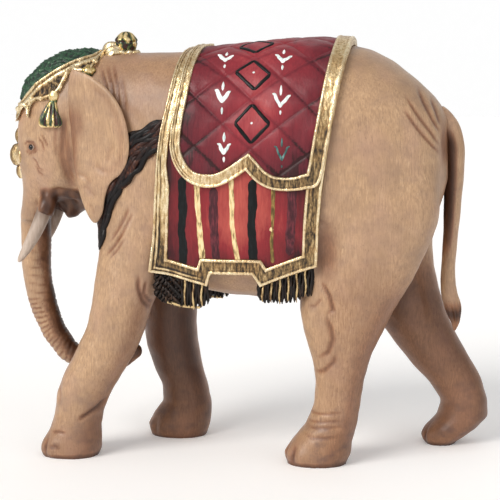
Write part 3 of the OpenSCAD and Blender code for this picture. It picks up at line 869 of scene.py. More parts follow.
# How far the carved wood stands above the hang of the cloths, by probing down on it
grid_x, grid_s = np.meshgrid(XS, SS, indexing="ij")
stand = np.full(grid_x.shape, -1.0)
for i, j in zip(*np.nonzero((grid_x > -29) & (grid_x < 37) & (grid_s < 84))):
    p, n = hang[i, j], outward[i, j]
    hit, spot, _, _ = carving.ray_cast((p + n * 10) / 1000, -n, distance=0.013)
    stand[i, j] = (np.array(spot) * 1000 - p) @ n if hit else -1
stand = np.clip(stand + 0.15, 0, 3.5)
for _ in range(24):
    stand[1:-1, 1:-1] = np.maximum(stand[1:-1, 1:-1], 0.25 * (
        stand[:-2, 1:-1] + stand[2:, 1:-1] + stand[1:-1, :-2] + stand[1:-1, 2:]) - 0.004)


def on_cloth(x, s, rise):
    """The place (mm) at x and s, this far above the hang; s is less than zero on the left."""
    x, s, rise = np.broadcast_arrays(np.asarray(x, float), np.asarray(s, float), np.asarray(rise, float))
    spot = read(hang, x, s) + read(outward, x, s) * (rise + read(stand, x, s))[..., None]
    spot[..., 1] *= np.where(s < 0, -1, 1)
    return spot


# ---------------------------------------------------------------- lower saddle cloth
# The lower cloth is carved 1 mm proud of the body, sealed and painted with crimson glaze over
# a salmon ground, brushed downwards, lighter on the crown of each flank. Narrow stripes are
# painted on it from the quilted cloth to the hem, and it creases towards its rear corner.
UNDER_T = 1.0
UNDER_FRONT = [(-16.6, 200), (-17.2, 124), (-20, 112), (-22.4, 100), (-23.8, 86), (-24.7, 72),
               (-25.3, 60)]
UNDER_FOOT = [(-25.4, 58.6), (-8.2, 54.6), (-7, 58.4), (5.2, 58.6), (7, 55.2), (9, 55.2), (24.6, 61.6)]
UNDER_REAR = [(25, 70), (26.2, 84), (28.2, 98), (30.6, 112), (33, 124), (33.4, 200)]


def edge_on_cloth(points, steps=6):
    """A smooth edge in side view as (x, s) places; a height of 200 means the spine."""
    p = np.array(points, float)
    s = girth_at(p[:, 0], np.minimum(p[:, 1], 140))
    return curve(np.stack([p[:, 0], s], -1), steps)


def folds(x, s):
    """Soft creases of the lower cloth, and its brush ridges."""
    z = read(hang[:, :, 2], x, s)
    lower = fade(x, 2, 12) * fade(z, 84, 70)
    diagonal = (x - 6) * 0.62 + (66 - z) * -0.78
    return (0.28 * lower * np.sin(diagonal * 0.62 + 0.6) + 0.12 * np.sin(x * 0.9 + 1.2 * np.sin(z * 0.12))
            + 0.02 * np.sin(x * 4.4 + 0.8 * np.sin(z * 0.3)))


def sheet(name, front, rear, bottom, rise, across, down, thick):
    """A closed cloth over the back between two edges (as x over s) down to s(x) on both sides."""
    u, v = np.linspace(0, 1, across), np.linspace(-1, 1, 2 * down + 1)
    V, U = np.meshgrid(v, u, indexing="ij")
    x = np.interp(U, [0, 1], [front[-1, 0], rear[-1, 0]])
    for _ in range(6):
        s = np.abs(V) * np.interp(x, bottom[:, 0], bottom[:, 1])
        x = (1 - U) * np.interp(s, front[:, 1], front[:, 0]) + U * np.interp(s, rear[:, 1], rear[:, 0])
    s = np.where(V < 0, -s, s)
    obj = lay(name, on_cloth(x, s, rise(x, np.abs(s))), close=False)
    take(obj)
    if (points_of(obj) * normals_of(obj))[:, 2].mean() < 0:
        obj.data.flip_normals()
    finish_with(obj, "SOLIDIFY", thickness=thick / 1000, offset=-1, use_even_offset=False)
    return obj


def side_places(obj):
    """The (x, s) of each point of a cloth, s found from its height."""
    x, _, z = points_of(obj).T
    i = np.clip(np.round((x - XS[0]) / STEP).astype(int), 0, len(XS) - 1)
    return x, SS[np.abs(hang[i, :, 2] - z[:, None]).argmin(axis=1)]


under_front, under_rear = edge_on_cloth(UNDER_FRONT), edge_on_cloth(UNDER_REAR)
foot = np.array([(-30, 59.7)] + [(x, z + 1.4) for x, z in UNDER_FOOT] + [(40, 66)])
foot_x = np.linspace(-27, 27, 200)
hem = np.stack([foot_x, girth_at(foot_x, np.interp(foot_x, foot[:, 0], foot[:, 1]))], -1)
inner = np.array([1.2, 0])
under_cloth = sheet("under_cloth_painted", under_front + inner, under_rear[::-1] - inner, hem,
                    lambda x, s: UNDER_T + folds(x, s), 150, 190, 1.0)
set_edges(under_cloth, 50)


def make_glaze(name, light, mid, dark, gloss=0.32):
    """Crimson oil glaze over a salmon ground on sealed wood: brush marks run down, the ground
    shows through on the high places and the glaze lies thick and dark in the hollows."""
    material, tree, shader = new_finish(name)
    spot, depth = carved_place(tree)
    strokes = noise(tree, spot, 1500, (1, 1, 0.12), 4, 0.6)        # brush marks 0.6 mm wide
    grain = noise(tree, spot, 3200, (1, 1, 0.35), 2, 0.6, 2)       # wood grain under the paint
    patch = noise(tree, spot, 130, (1, 1, 0.7), 3, 0.5, 6)         # glaze pooled in 8 mm patches
    sway = sums(tree, "MULTIPLY_ADD", strokes, 0.34, -0.17)
    sway2 = sums(tree, "MULTIPLY_ADD", patch, 0.5, sway)
    total = sums(tree, "ADD", sway2, depth)
    base = ramp(tree, total, (0.2, light), (0.5, mid), (0.95, dark), (1.0, "#30090d"))
    base = mixed(tree, ramp(tree, grain, (0.62, 0.0), (0.8, 0.35)), base, "#4c1218")
    settle(tree, shader, Base_Color=base, Roughness=ramp(tree, patch, (0.3, gloss), (0.7, gloss + 0.2)))
    height = sums(tree, "ADD", strokes, grain)
    roughen(tree, shader, height, 0.25, 0.0003)
    settle(tree, shader, Specular_IOR_Level=0.3, Coat_Weight=0.06, Coat_Roughness=0.2)
    return material


crimson_glaze = make_glaze("crimson glaze over salmon", "#b9564a", "#88242a", "#430b13")
x, s = side_places(under_cloth)
crown = hump(x - 2, 15) * fade(read(hang[:, :, 2], x, s), 58, 72)
note(under_cloth, "stain", 0.6 - 0.5 * crown + 0.24 * fade(x, -16, -22) + 0.12 * fade(x, 15, 22)
     - 0.25 * folds(x, s))
fit(under_cloth, crimson_glaze, "crimson_glaze", "under_cloth")


def brush(name, strokes, rise, height=0.1):
    """Paint strokes as thin raised strips: each is places (x, s, half width) along its middle."""
    strips = []
    for k, stroke in enumerate(strokes):
        stroke = np.array(stroke, float)
        run = np.append(0, np.cumsum(np.hypot(*np.diff(stroke[:, :2], axis=0).T)))
        at = np.linspace(0, run[-1], max(6, int(run[-1] / 0.35)))
        x, s, half = (np.interp(at, run, stroke[:, i]) for i in range(3))
        x = x + 0.05 * np.sin(at * 0.6 + 3 * k) * (run[-1] > 8)
        half = half * (1 + 0.07 * np.sin(at * 0.9 + k) + 0.04 * np.sin(at * 2.3 + 2 * k))
        half = half * np.sqrt(np.clip(np.minimum(at + 0.04, run[-1] - at + 0.04) / (half + 0.01), 0, 1))
        way = np.stack([np.gradient(x), np.gradient(s)], -1)
        way /= np.linalg.norm(way, axis=1)[:, None]
        rows = []
        for c, up in [(-1, -0.3), (-1, 0.02), (-0.6, 1), (0, 1.15), (0.6, 1), (1, 0.02), (1, -0.3),
                      (-1, -0.3)]:
            xx, ss = x - way[:, 1] * half * c, s + way[:, 0] * half * c
            rows.append(on_cloth(xx, ss, rise(xx, np.abs(ss)) + height * up))
        strips.append(lay(name, np.stack(rows, 1)))
    obj = join_up(strips, name)
    set_edges(obj, 60)
    return obj


def make_paint(name, hexes, rough):
    """Artist's oil colour brushed on: small shifts of tone along the stroke, a soft gloss."""
    material, tree, shader = new_finish(name)
    spot = add(tree, "TexCoord").outputs["Object"]
    tone = noise(tree, spot, 1800, (1, 1, 0.2), 3)                 # brush hairs about 0.5 mm apart
    wear = noise(tree, spot, 540, (1, 1, 0.5), 2, 0.5, 5)
    total = sums(tree, "MULTIPLY_ADD", wear, 0.5, -0.25)
    total = sums(tree, "ADD", total, tone)
    settle(tree, shader, Base_Color=ramp(tree, total, *zip((0.3, 0.5, 0.7), hexes)),
           Roughness=ramp(tree, tone, (0.3, rough), (0.7, rough + 0.15)))
    roughen(tree, shader, tone, 0.25, 0.0002)
    settle(tree, shader, Specular_IOR_Level=0.25)
    return material


def both(strokes):
    """The same strokes on both flanks."""
    return [[(x, -s, w) for x, s, w in k] for k in strokes] + [list(k) for k in strokes]


def under_top(x, s):
    return UNDER_T + folds(x, s)


black_paint = make_paint("ivory black oil colour", ("#020304", "#06090a", "#12181a"), 0.3)
plum_paint = make_paint("plum oil colour", ("#3a1a20", "#4a2229", "#6e3038"), 0.35)
pale_gold_paint = make_paint("pale gold paint", ("#7a6440", "#e2c68f", "#f4deb0"), 0.35)
old_gold_paint = make_paint("thin gold paint", ("#3d3018", "#6d5a30", "#a8894e"), 0.4)
STRIPES = [
    ("stripes_black", black_paint, "umber_paint", [
        [(-15.5, 51.6, 1.2), (-15.5, 55.7, 1.2), (-15.2, 61.7, 1.4), (-16, 67.7, 1.1), (-15.5, 71.7, 1.35),
         (-15.8, 80, 1.25)],
        [(5.7, 54.6, 1.25), (5.7, 62, 1.35), (5.3, 68.5, 1.15), (5.5, 73.2, 1.35), (5.8, 80, 1.35)]]),
    ("stripes_plum", plum_paint, "crimson_glaze", [
        [(-6, 55.6, 1.3), (-6, 63.2, 1.45), (-5.9, 70, 1.25), (-5.4, 79, 1.2)],
        [(17.5, 57.5, 1.4), (17.4, 64.5, 1.35), (17, 70.5, 1.4), (16.4, 78, 1.2)]]),
    ("stripes_gold", pale_gold_paint, "gold_leaf", [
        [(-11.1, 52, 0.85), (-10.8, 59, 0.8), (-10.5, 64.7, 0.7), (-10.2, 69.7, 0.85), (-9.6, 79, 0.9)],
        [(-0.6, 53, 0.7), (-0.5, 61, 0.75), (-0.4, 67.5, 0.65), (0.1, 72.7, 0.7), (1.4, 80, 0.75)],
        [(11.0, 69.2, 0.5), (11.3, 69.9, 0.7), (11.4, 70.6, 0.4)]]),
    ("stripes_old_gold", old_gold_paint, "gold_leaf", [
        [(11.8, 57, 0.6), (11.8, 65, 0.55), (11.5, 69.5, 0.35), (11.2, 73.2, 0.5), (11.5, 80, 0.55)]])]
for name, paint, slot, strokes in STRIPES:
    fit(brush(name, both(strokes), under_top), paint, slot)

# ---------------------------------------------------------------- quilted upper cloth
# The upper cloth is carved 0.9 mm proud of the lower one and cut in a lattice of grooves like
# quilting, with a low pillow in each diamond. It is painted crimson, with black-lined diamonds
# in the middle and white sprigs to each side, over the back from flank to flank.
QUILT_T = 0.9
CELL_X, CELL_S, TILT = 8.4, 7.15, 0.16
UPPER_FRONT = [(-13.4, 200), (-14.4, 124), (-17, 112), (-18.6, 102), (-18.8, 95.4), (-17, 90.4),
               (-13.6, 86.6), (-9.4, 84.8), (-4.6, 85), (0, 87.2), (3.8, 89.8)]
UPPER_REAR = [(3.8, 89.8), (7.2, 86.4), (11.4, 84.4), (16.4, 84), (21.4, 84.6), (25.6, 86.6), (28, 98),
              (30.4, 112), (32.8, 124), (33.2, 200)]


def quilt_lines(x, s):
    """The two lattice numbers: a groove runs where either is even."""
    down = (s - TILT * (x - 5) - 17) / CELL_S
    return (x - 5) / CELL_X + down, (x - 5) / CELL_X - down


def groove_distance(x, s):
    """How far the nearest two grooves are, in mm."""
    spread = math.hypot(1 / CELL_X, 1 / CELL_S)
    return [np.abs(k - 2 * np.round(k / 2)) / spread for k in quilt_lines(x, s)]


def quilting(x, s):
    a, b = groove_distance(x, s)
    pillow = 0.4 * (1 - np.exp(-(np.minimum(a, b) / 1.7) ** 1.5))
    cut = -0.2 * (hump(a, 0.35) + hump(b, 0.35))
    return pillow + cut + 0.05 * np.sin(x * 0.8 + 0.5 * s)


def upper_top(x, s):
    return UNDER_T + QUILT_T - 0.25 + quilting(x, s)


upper_front, upper_rear = edge_on_cloth(UPPER_FRONT, 10), edge_on_cloth(UPPER_REAR, 10)
corner_front = int(np.argmin(upper_front[:, 0]))
corner_rear = int(np.argmax(upper_rear[:, 0] > 25.8))
low_edge = np.vstack([upper_front[corner_front:-1], upper_rear[:corner_rear + 1]])
upper_cloth = sheet("upper_cloth_painted", upper_front[:corner_front + 1] + inner,
                    upper_rear[corner_rear:][::-1] - inner, low_edge - (0, 1.2), upper_top, 170, 170, 0.8)
set_edges(upper_cloth, 60)
quilt_glaze = make_glaze("crimson glaze on the quilting", "#b5504f", "#8c2a33", "#541420", 0.34)
x, s = side_places(upper_cloth)
a, b = groove_distance(x, s)
crown = hump(x - 6, 13) * fade(s, 58, 40)
note(upper_cloth, "stain", 0.6 - 0.42 * crown + 0.2 * hump(np.minimum(a, b), 0.45)
     + 0.1 * fade(x, -8, -17) + 0.12 * fade(s, 38, 50))
fit(upper_cloth, quilt_glaze, "crimson_glaze", "upper_cloth")

# Diamonds lined in black, each with a white dot, down the middle of the lattice
lines, dots = [], []
for tips, dot in [([(-0.2, 10.8), (4.2, 6.4), (10.2, 11.6), (5.3, 15.7)], None),
                  ([(0, 22.5), (5.3, 19.5), (10.5, 24.7), (6, 28.8)], (5.5, 23.5)),
                  ([(0.5, 37.7), (5.5, 33), (10.8, 39), (5.3, 44)], (5.5, 38.3))]:
    lines += [[(*p, 0.52), (*q, 0.52)] for p, q in zip(tips, tips[1:] + tips[:1])]
    if dot:
        dots.append([(dot[0] - 0.35, dot[1], 0.35), (dot[0] + 0.35, dot[1], 0.35)])
fit(brush("diamonds_black", both(lines), upper_top, 0.16), black_paint, "umber_paint")

# White sprigs: a petal, two curled leaves and a drop, to each side of the diamonds
white_paint = make_paint("lead white oil colour", ("#b9cfcc", "#e9efec", "#ffffff"), 0.35)
grey_paint = make_paint("grey green oil colour", ("#24403e", "#4f7673", "#7fa09a"), 0.35)


def sprig(x, petal, left, right, foot, drop, plump=1):
    """A petal, two curled leaves that meet at the foot, and a drop below it."""
    strokes = [[(x, petal[0], 0.15), (x, (petal[0] + petal[1]) / 2, 0.5 * plump), (x, petal[1], 0.25)],
               [(x, drop[0], 0.35 * plump), (x, (drop[0] + drop[1]) / 2, 0.38 * plump), (x, drop[1], 0.15)]]
    for tip in (left, right):
        way = 1 if tip[0] > x else -1
        strokes.append([(x, foot, 0.35 * plump), (x + 0.35 * way, foot - 1.1, 0.62 * plump),
                        ((x + tip[0]) / 2 - 0.1 * way, (foot + tip[1]) / 2 - 0.2, 0.6 * plump),
                        (tip[0] - 0.75 * way, tip[1] + 0.35, 0.5 * plump), (*tip, 0.34 * plump)])
    return strokes


white = list(dots)
for where in [(-3.5, (14.2, 16), (-6.2, 15.2), (-1.2, 16.2), 18.6, (19.6, 20.8), 1),
              (13.9, (16.2, 18), (11.4, 18), (16.5, 18.8), 21.3, (22, 23.4), 0.9),
              (-3.4, (25.2, 27.9), (-5.8, 27.4), (-1, 28.4), 31.5, (32.8, 34.7), 1.05),
              (13.9, (28.2, 31.2), (11.4, 30.4), (16.8, 31.2), 34.6, (35.4, 36.6), 0.8),
              (-2.6, (39.9, 42.7), (-4.6, 42.9), (-0.5, 43.4), 46.3, (46.9, 48.5), 0.9),
              (13.4, (1.6, 2.4), (11.6, 2.6), (15.2, 2.8), 4.2, (4.8, 5.6), 0.9)]:
    white += sprig(*where)
fit(brush("sprigs_white", both(white), upper_top), white_paint, "ivory_paint")
fit(brush("sprigs_grey", both(sprig(14.5, (43.2, 45.8), (12.2, 45.4), (16.8, 45.7), 49.8, (51, 51.8), 0.55)),
          upper_top), grey_paint, "green_paint")

# ---------------------------------------------------------------- gilded bands
# Both cloths are edged with a flat band 3.2 to 4.7 mm wide between two rounded beads, carved with
# the cloth, gilded and toned with a dark bronze glaze that stays in the flat and beside the beads.
# In front the flat has a third bead down its middle.
BAND_W = 3.2
BAND = [(0, -1.2, 0.6), (0, 0.0, 0.4), (0.1, 0.24, 0.1), (0.3, 0.36, 0), (0.5, 0.32, 0.15),
        (0.7, 0.18, 0.7), (0.9, 0.16, 0.62), (1.15, 0.18, 0.56), (1.4, 0.18, 0.62), (1.8, 0.2, 0.58),
        (2.2, 0.18, 0.62), (2.5, 0.18, 0.7),
        (2.7, 0.32, 0.15), (2.9, 0.36, 0), (3.1, 0.24, 0.1), (3.2, -0.1, 0.6), (3.2, -0.9, 0.8)]


def make_gold():
    """Gold leaf on wood, toned with dark bronze glaze: pale metal on every bead and edge, and
    streaks of glaze brushed down the flats."""
    material, tree, shader = new_finish("gold leaf with bronze glaze")
    spot, depth = carved_place(tree)
    streaks = noise(tree, spot, 1500, (1, 1, 0.22), 4, 0.65)       # glaze streaks 0.6 mm wide
    specks = noise(tree, spot, 2600, (1, 1, 1), 2, 0.6, 3)         # specks of 0.4 mm in the leaf
    laps = noise(tree, spot, 220, (1, 1, 1), 2, 0.5, 8)            # leaves lap every 4 mm
    sway = sums(tree, "MULTIPLY_ADD", streaks, 1.7, -0.92)
    sway = sums(tree, "MULTIPLY_ADD", specks, 0.35, sway)
    total = sums(tree, "ADD", sway, depth)
    tone = ramp(tree, total, (0.1, "#f4e2bd"), (0.34, "#d8bd8e"), (0.6, "#94784f"), (0.85, "#45351f"),
                (1.0, "#1d130b"))
    tone = mixed(tree, ramp(tree, laps, (0.45, 0.0), (0.65, 0.35)), tone, "#d0ab7c", "MULTIPLY")
    settle(tree, shader, Base_Color=tone, Metallic=ramp(tree, total, (0.3, 0.85), (0.75, 0.25)),
           Roughness=ramp(tree, total, (0.2, 0.27), (0.8, 0.5)))
    height = sums(tree, "ADD", streaks, specks)
    roughen(tree, shader, height, 0.35, 0.0003)
    return material


gold_leaf = make_gold()


def band(name, runs, wide, rise, closed=False, inward=1):
    """Sweep the band along runs of (x, s) that meet in mitred corners; wide(x, s) is its width."""
    places, mitres = [], []
    count = len(runs)
    for i, run in enumerate(runs):
        d = np.diff(run, axis=0)
        length = np.append(0, np.cumsum(np.hypot(d[:, 0], d[:, 1])))
        before = runs[i - 1] if i or closed else None
        after = runs[(i + 1) % count] if i < count - 1 or closed else None
        skips, start_way, end_way = [0, 0], d[0] / np.hypot(*d[0]), d[-1] / np.hypot(*d[-1])
        for k, (other, way) in enumerate([(before, start_way), (after, end_way)]):
            if other is None:
                continue
            step = other[-1] - other[-2] if k == 0 else other[1] - other[0]
            step = step / np.hypot(*step)
            u, v = (step, way) if k == 0 else (way, step)
            turn = math.atan2(u[0] * v[1] - u[1] * v[0], u @ v) * inward
            corner_at = run[0] if k == 0 else run[-1]
            skips[k] = float(wide(*corner_at)) * math.tan(max(turn, 0) / 2) + 0.15
            if k == 0:
                n1, n2 = (np.array([-w[1], w[0]]) * inward for w in (u, v))
                corner = (n1 + n2) / (1 + n1 @ n2)
        if before is None:
            corner = np.array([-start_way[1], start_way[0]]) * inward
        places.append(run[0])
        mitres.append(corner)
        at = np.arange(skips[0] + 0.25, length[-1] - skips[1] - 0.25, 0.55)
        spot = np.stack([np.interp(at, length, run[:, 0]), np.interp(at, length, run[:, 1])], -1)
        if len(at) > 1:
            way = np.gradient(spot, axis=0)
            way /= np.hypot(way[:, 0], way[:, 1])[:, None]
            places += list(spot)
            mitres += list(np.stack([-way[:, 1], way[:, 0]], -1) * inward)
        if after is None:
            places.append(run[-1])
            mitres.append(np.array([-end_way[1], end_way[0]]) * inward)
    places, mitres = np.array(places), np.array(mitres)
    if closed:
        places, mitres = np.vstack([places, places[:1]]), np.vstack([mitres, mitres[:1]])
    rows, tones = [], []
    for w, up, tone in BAND:
        spot = places + mitres * (w * wide(*places.T) / BAND_W)[:, None]
        low = up < 0
        wave = 0 if low else 0.05 * np.sin(places[:, 1] * 1.3 + places[:, 0] * 1.7 + 3 * w)
        third = 0 if low else hump(w - 1.15, 0.22) * fade(places[:, 0], -12, -15)
        rows.append(on_cloth(spot[:, 0], spot[:, 1], rise + up + wave + 0.2 * third))
        cut_in = 1.7 * fade(places[:, 0], -12, -15) * (w in (0.7, 1.4))
        tones.append(tone * (1 - 0.9 * third) + cut_in)
    rows.append(rows[0])
    obj = lay(name, np.stack(rows, 1))
    set_edges(obj, 55)
    flat = np.stack(rows[:-1], 1).reshape(-1, 3)
    tones = (np.stack(tones, 1) * toning(np.stack(rows[:-1], 1))).reshape(-1)
    tree = KDTree(len(flat))
    for i, p in enumerate(flat):
        tree.insert(p, i)
    tree.balance()
    note(obj, "stain", np.array([tones[tree.find(p)[1]] for p in points_of(obj)]))
    return obj


def toning(p):
    """Less glaze where the bands are rubbed, down the front edge and on the front half higher up; paler
    towards the top, over the back, as a painted highlight.
    """
    x, z = p[..., 0], p[..., 2]
    rubbed = np.maximum(fade(x, -8, -14) * fade(z, 64, 78), fade(x, 6, 0) * fade(z, 78, 82))
    return 0.3 + 0.7 * (1 - rubbed) * (1 - 0.75 * fade(z, 100, 112))


def frame_wide(x, s):
    """The lower band is narrow where it runs up beside the upper one and wide at the hem."""
    return 3.2 + 1.5 * np.maximum(fade(np.abs(s), 46, 56), fade(x, -12, 0))


def border_wide(x, s):
    return 3.2 + 0.8 * fade(x, -16, -8) + 0.6 * fade(x, 16, 24)


def on_side(line, side):
    return np.stack([line[:, 0], line[:, 1] * side], -1)


corners = [(-25.3, 59.2), (-8.4, 54.8), (-7.2, 58.6), (5.2, 58.6), (7.6, 55), (24.7, 61.4)]
foot_places = np.array([(x, girth_at(x, z)[0]) for x, z in corners])
foot_runs = [np.linspace(p, q, 12) for p, q in zip(foot_places, foot_places[1:])]
down = np.vstack([edge_on_cloth(UNDER_FRONT[:-1])[:-3], foot_places[:1]])
up = np.vstack([foot_places[-1:], edge_on_cloth(UNDER_REAR)[2:]])
for side, word in SIDES:
    runs = [on_side(run, side) for run in [down] + foot_runs + [up]]
    frame_band = band("frame_" + word + "_gilded", runs, frame_wide, UNDER_T + 0.35,
                      inward=-side)
    fit(frame_band, gold_leaf, "gold_leaf", "frame_" + word)
halves = [on_side(upper_front, NEAR), on_side(upper_rear, NEAR)]
halves += [on_side(upper_rear[::-1], FAR)[1:], on_side(upper_front[::-1], FAR)[:-1]]
border = band("upper_border_gilded", [halves[0], np.vstack([halves[1], halves[2]]), halves[3]],
              border_wide, UNDER_T + QUILT_T + 0.35, closed=True)
fit(border, gold_leaf, "gold_leaf", "upper_border")

# ---------------------------------------------------------------- fringes
# Under the hem, before and behind its notch, hang deep fringes carved as locks of twisted
# thread, curly in front and straight behind, painted umber and touched with gold on the ridges.
FRINGE_Y = 20.6
FRINGES = {"front": ([(-24.3, 58.4), (-8.3, 54.8)],
                     [(-24.6, 51.6), (-21, 50), (-16, 48.8), (-11, 48.5), (-8.2, 50.6)]),
           "rear": ([(7.2, 55.4), (9, 55.4), (23.8, 61.4)],
                    [(6.8, 51.4), (12, 50.5), (18.6, 51.5), (23.8, 54)])}
RIGHT_DROP = 3.5


def make_umber():
    """Umber oil paint over gilding on carved threads: almost black between them, gold where the
    ridges were rubbed bare."""
    material, tree, shader = new_finish("umber paint rubbed back to gold")
    spot, depth = carved_place(tree)
    threads = noise(tree, spot, 2400, (1, 1, 0.2), 3, 0.6)         # threads 0.4 mm wide
    rubbed = noise(tree, spot, 420, (1, 1, 0.5), 2, 0.5, 3)        # rubbed places of 2.4 mm
    sway = sums(tree, "MULTIPLY_ADD", threads, 1.0, -0.5)
    sway = sums(tree, "MULTIPLY_ADD", rubbed, 0.9, sway)
    sway = sums(tree, "SUBTRACT", sway, 0.45)
    total = sums(tree, "ADD", sway, depth)
    settle(tree, shader, Base_Color=ramp(tree, total, (0.12, "#dcc08d"), (0.3, "#8c6d48"), (0.5, "#4a3324"),
                                         (0.75, "#1d130e"), (1.0, "#0b0706")),
           Metallic=ramp(tree, total, (0.2, 0.6), (0.4, 0.0)),
           Roughness=ramp(tree, threads, (0.3, 0.3), (0.7, 0.5)))
    roughen(tree, shader, threads, 0.4, 0.0003)
    settle(tree, shader, Specular_IOR_Level=0.3)
    return material


umber_paint = make_umber()


for word, (top, bottom) in FRINGES.items():
    top, bottom = np.array(top), np.array(bottom)
    for side, side_word in SIDES:
        locks, shades = [], []
        low, high = bottom[0, 0], bottom[-1, 0]
        for layer, spacing in ((0, 1.3), (1, 0.86)):
            for k, x in enumerate(np.arange(low + 0.5, high - 0.3, spacing)):
                z_top = np.interp(x, top[:, 0], top[:, 1]) + 0.8
                z_low = np.interp(x, bottom[:, 0], bottom[:, 1]) + 0.35 * math.sin(5.1 * k + layer)
                z_low -= 0.9 + (RIGHT_DROP if side == FAR else 0)
                curly = word == "front" and x < -16.5
                z = np.linspace(z_top, z_low, 12)
                t = np.linspace(0, 1, 12)
                swing = (0.55 if curly else 0.16) * np.sin((2.4 if curly else 0.9) * z + 2.1 * k)
                y = FRINGE_Y + (1.25 + 1.0 * layer) + (0.5 if curly else 0.2) * np.cos(
                    (2.4 if curly else 0.7) * z + 1.7 * k) * layer
                ridge = layer == 1 and not curly and k % 3 == 1
                y += 0.25 * ridge
                radius = (0.95 if layer == 0 else 0.5 if not ridge else 0.36) * np.clip(1.15 - t ** 6, 0.3, 1)
                radius = radius * (1 + (0.3 if curly else 0.1) * np.sin(3.4 * z + k))
                lock = tube("lock", np.stack([x + swing, side * y, z, radius], -1), 9, 2)
                shade = 0.95 if layer == 0 else (0.78 if curly else 0.22 if ridge else 0.85)
                note(lock, "stain", np.full(len(lock.data.vertices), shade))
                locks.append(lock)
        if word == "front":
            drop = 0.5 + (RIGHT_DROP if side == FAR else 0)
            rim = tube("rim", [(x, side * (FRINGE_Y + 1.9), z - drop, 0.42) for x, z in bottom[1:-1]], 10, 8)
            note(rim, "stain", np.full(len(rim.data.vertices), 0.05))
            locks.append(rim)
        fringe = join_up(locks, "fringe_" + word + "_" + side_word + "_carved")
        set_edges(fringe, 60)
        start_carving(fringe)
        old = np.empty(len(P))
        fringe.data.attributes["stain"].data.foreach_get("value", old)
        tips = 1 - fade(Z, Z.min() + 0.3, Z.min() + 1.8)
        stain = old - 0.4 * tips * (word == "front") - 0.15 * np.clip(N[:, 1] * side, 0, 1) ** 3 + 0.1
        end_carving(fringe)
        fit(fringe, umber_paint, "umber_paint", "fringe_" + word + "_" + side_word)

# ---------------------------------------------------------------- breast collar
# A collar of long dark hair runs from under the cloth, round the shoulder behind the ear and
# down over the breast. It is carved in wavy locks and painted almost black.
COLLAR_TOP = [(-21, 105.4), (-27, 101.6), (-33, 98), (-38.4, 90), (-41.4, 82), (-43.2, 75),
              (-45.4, 69), (-45, 63.5)]
COLLAR_LOW = [(-21, 96.5), (-24.4, 95.2), (-29.4, 90.8), (-32.4, 86.6), (-36, 83), (-38.8, 78),
              (-40.8, 70.5), (-43, 64.5)]


def make_hair():
    """Nearly black umber paint over carved hair, with brown and red lights along the locks."""
    material, tree, shader = new_finish("black umber paint on carved hair")
    spot, depth = carved_place(tree)
    hairs = noise(tree, spot, 2000, (1, 1, 0.5), 3, 0.6)           # hairs 0.5 mm wide
    sway = sums(tree, "MULTIPLY_ADD", hairs, 0.9, -0.45)
    total = sums(tree, "ADD", sway, depth)
    settle(tree, shader, Base_Color=ramp(tree, total, (0.1, "#7a4a34"), (0.35, "#3a1d14"),
                                         (0.62, "#150b0a"), (0.9, "#060304")),
           Roughness=ramp(tree, hairs, (0.3, 0.3), (0.7, 0.5)))
    roughen(tree, shader, hairs, 0.4, 0.0003)
    settle(tree, shader, Specular_IOR_Level=0.3)
    return material


collar_top, collar_low = curve(COLLAR_TOP, 8), curve(COLLAR_LOW, 8)
locks = []
for side in (NEAR, FAR):
    for k in range(22):
        w0 = k / 21
        first, last = (0.0, 1.0) if k % 3 == 0 else ((0.0, 0.62) if k % 3 == 1 else (0.3, 1.0))
        t = np.linspace(first, last, 44)
        w = w0 + 0.07 * np.sin(19 * t + 1.9 * k) + 0.04 * np.sin(41 * t + k)
        i = t * (len(collar_top) - 1)
        base = [np.stack([np.interp(i, range(len(c)), c[:, j]) for j in (0, 1)], -1)
                for c in (collar_top, collar_low)]
        line = base[0] * (1 - w[:, None]) + base[1] * w[:, None]
        spots = []
        for (x, z), tt in zip(line, t):
            hit, spot, _, _ = carving.ray_cast((x / 1000, side * 0.06, z / 1000), (0, -side, 0),
                                               distance=0.0595)
            if hit:
                thick = 0.95 * min(1, 8 * (tt - first) + 0.35, 8 * (last - tt) + 0.15)
                lift = 0.15 + 0.35 * math.sin(23 * tt + 2.3 * k) + 0.3 * (k % 2)
                lift -= 1.3 * float(fade(x, -34.5, -37.5)) * float(fade(z, 83, 87))
                spots.append((x, spot[1] * 1000 + side * lift, z, thick))
        if len(spots) > 6:
            lock = tube("lock", spots, 9, 2)
            note(lock, "stain", np.full(len(lock.data.vertices), 0.62 + 0.25 * math.sin(1.9 * k)))
            locks.append(lock)
collar = join_up(locks, "breast_collar_carved")
set_edges(collar, 60)
fit(collar, make_hair(), "umber_paint", "breast_collar")

# ---------------------------------------------------------------- cap
# The crown of the head wears a close cap carved in short overlapping tufts like moss, painted
# dark green, its edge tucked under the gilded headstall.
CAP_EDGE = [(-77, 107.6), (-70.4, 109.2), (-67.2, 112.2), (-63.8, 115.4), (-58, 119.2), (-52, 122.3),
            (-46.8, 124)]
CAP_BACK = [(-45.6, 125), (-45.6, 134), (-60, 134), (-77, 124)]


def prism(outline):
    """A block of this side outline, right across the figure."""
    outline = np.array(list(outline) + [outline[0]])
    rows = [np.stack([outline[:, 0], np.full(len(outline), y), outline[:, 1]], -1) for y in (-45, 45)]
    return lay("prism", np.stack(rows))


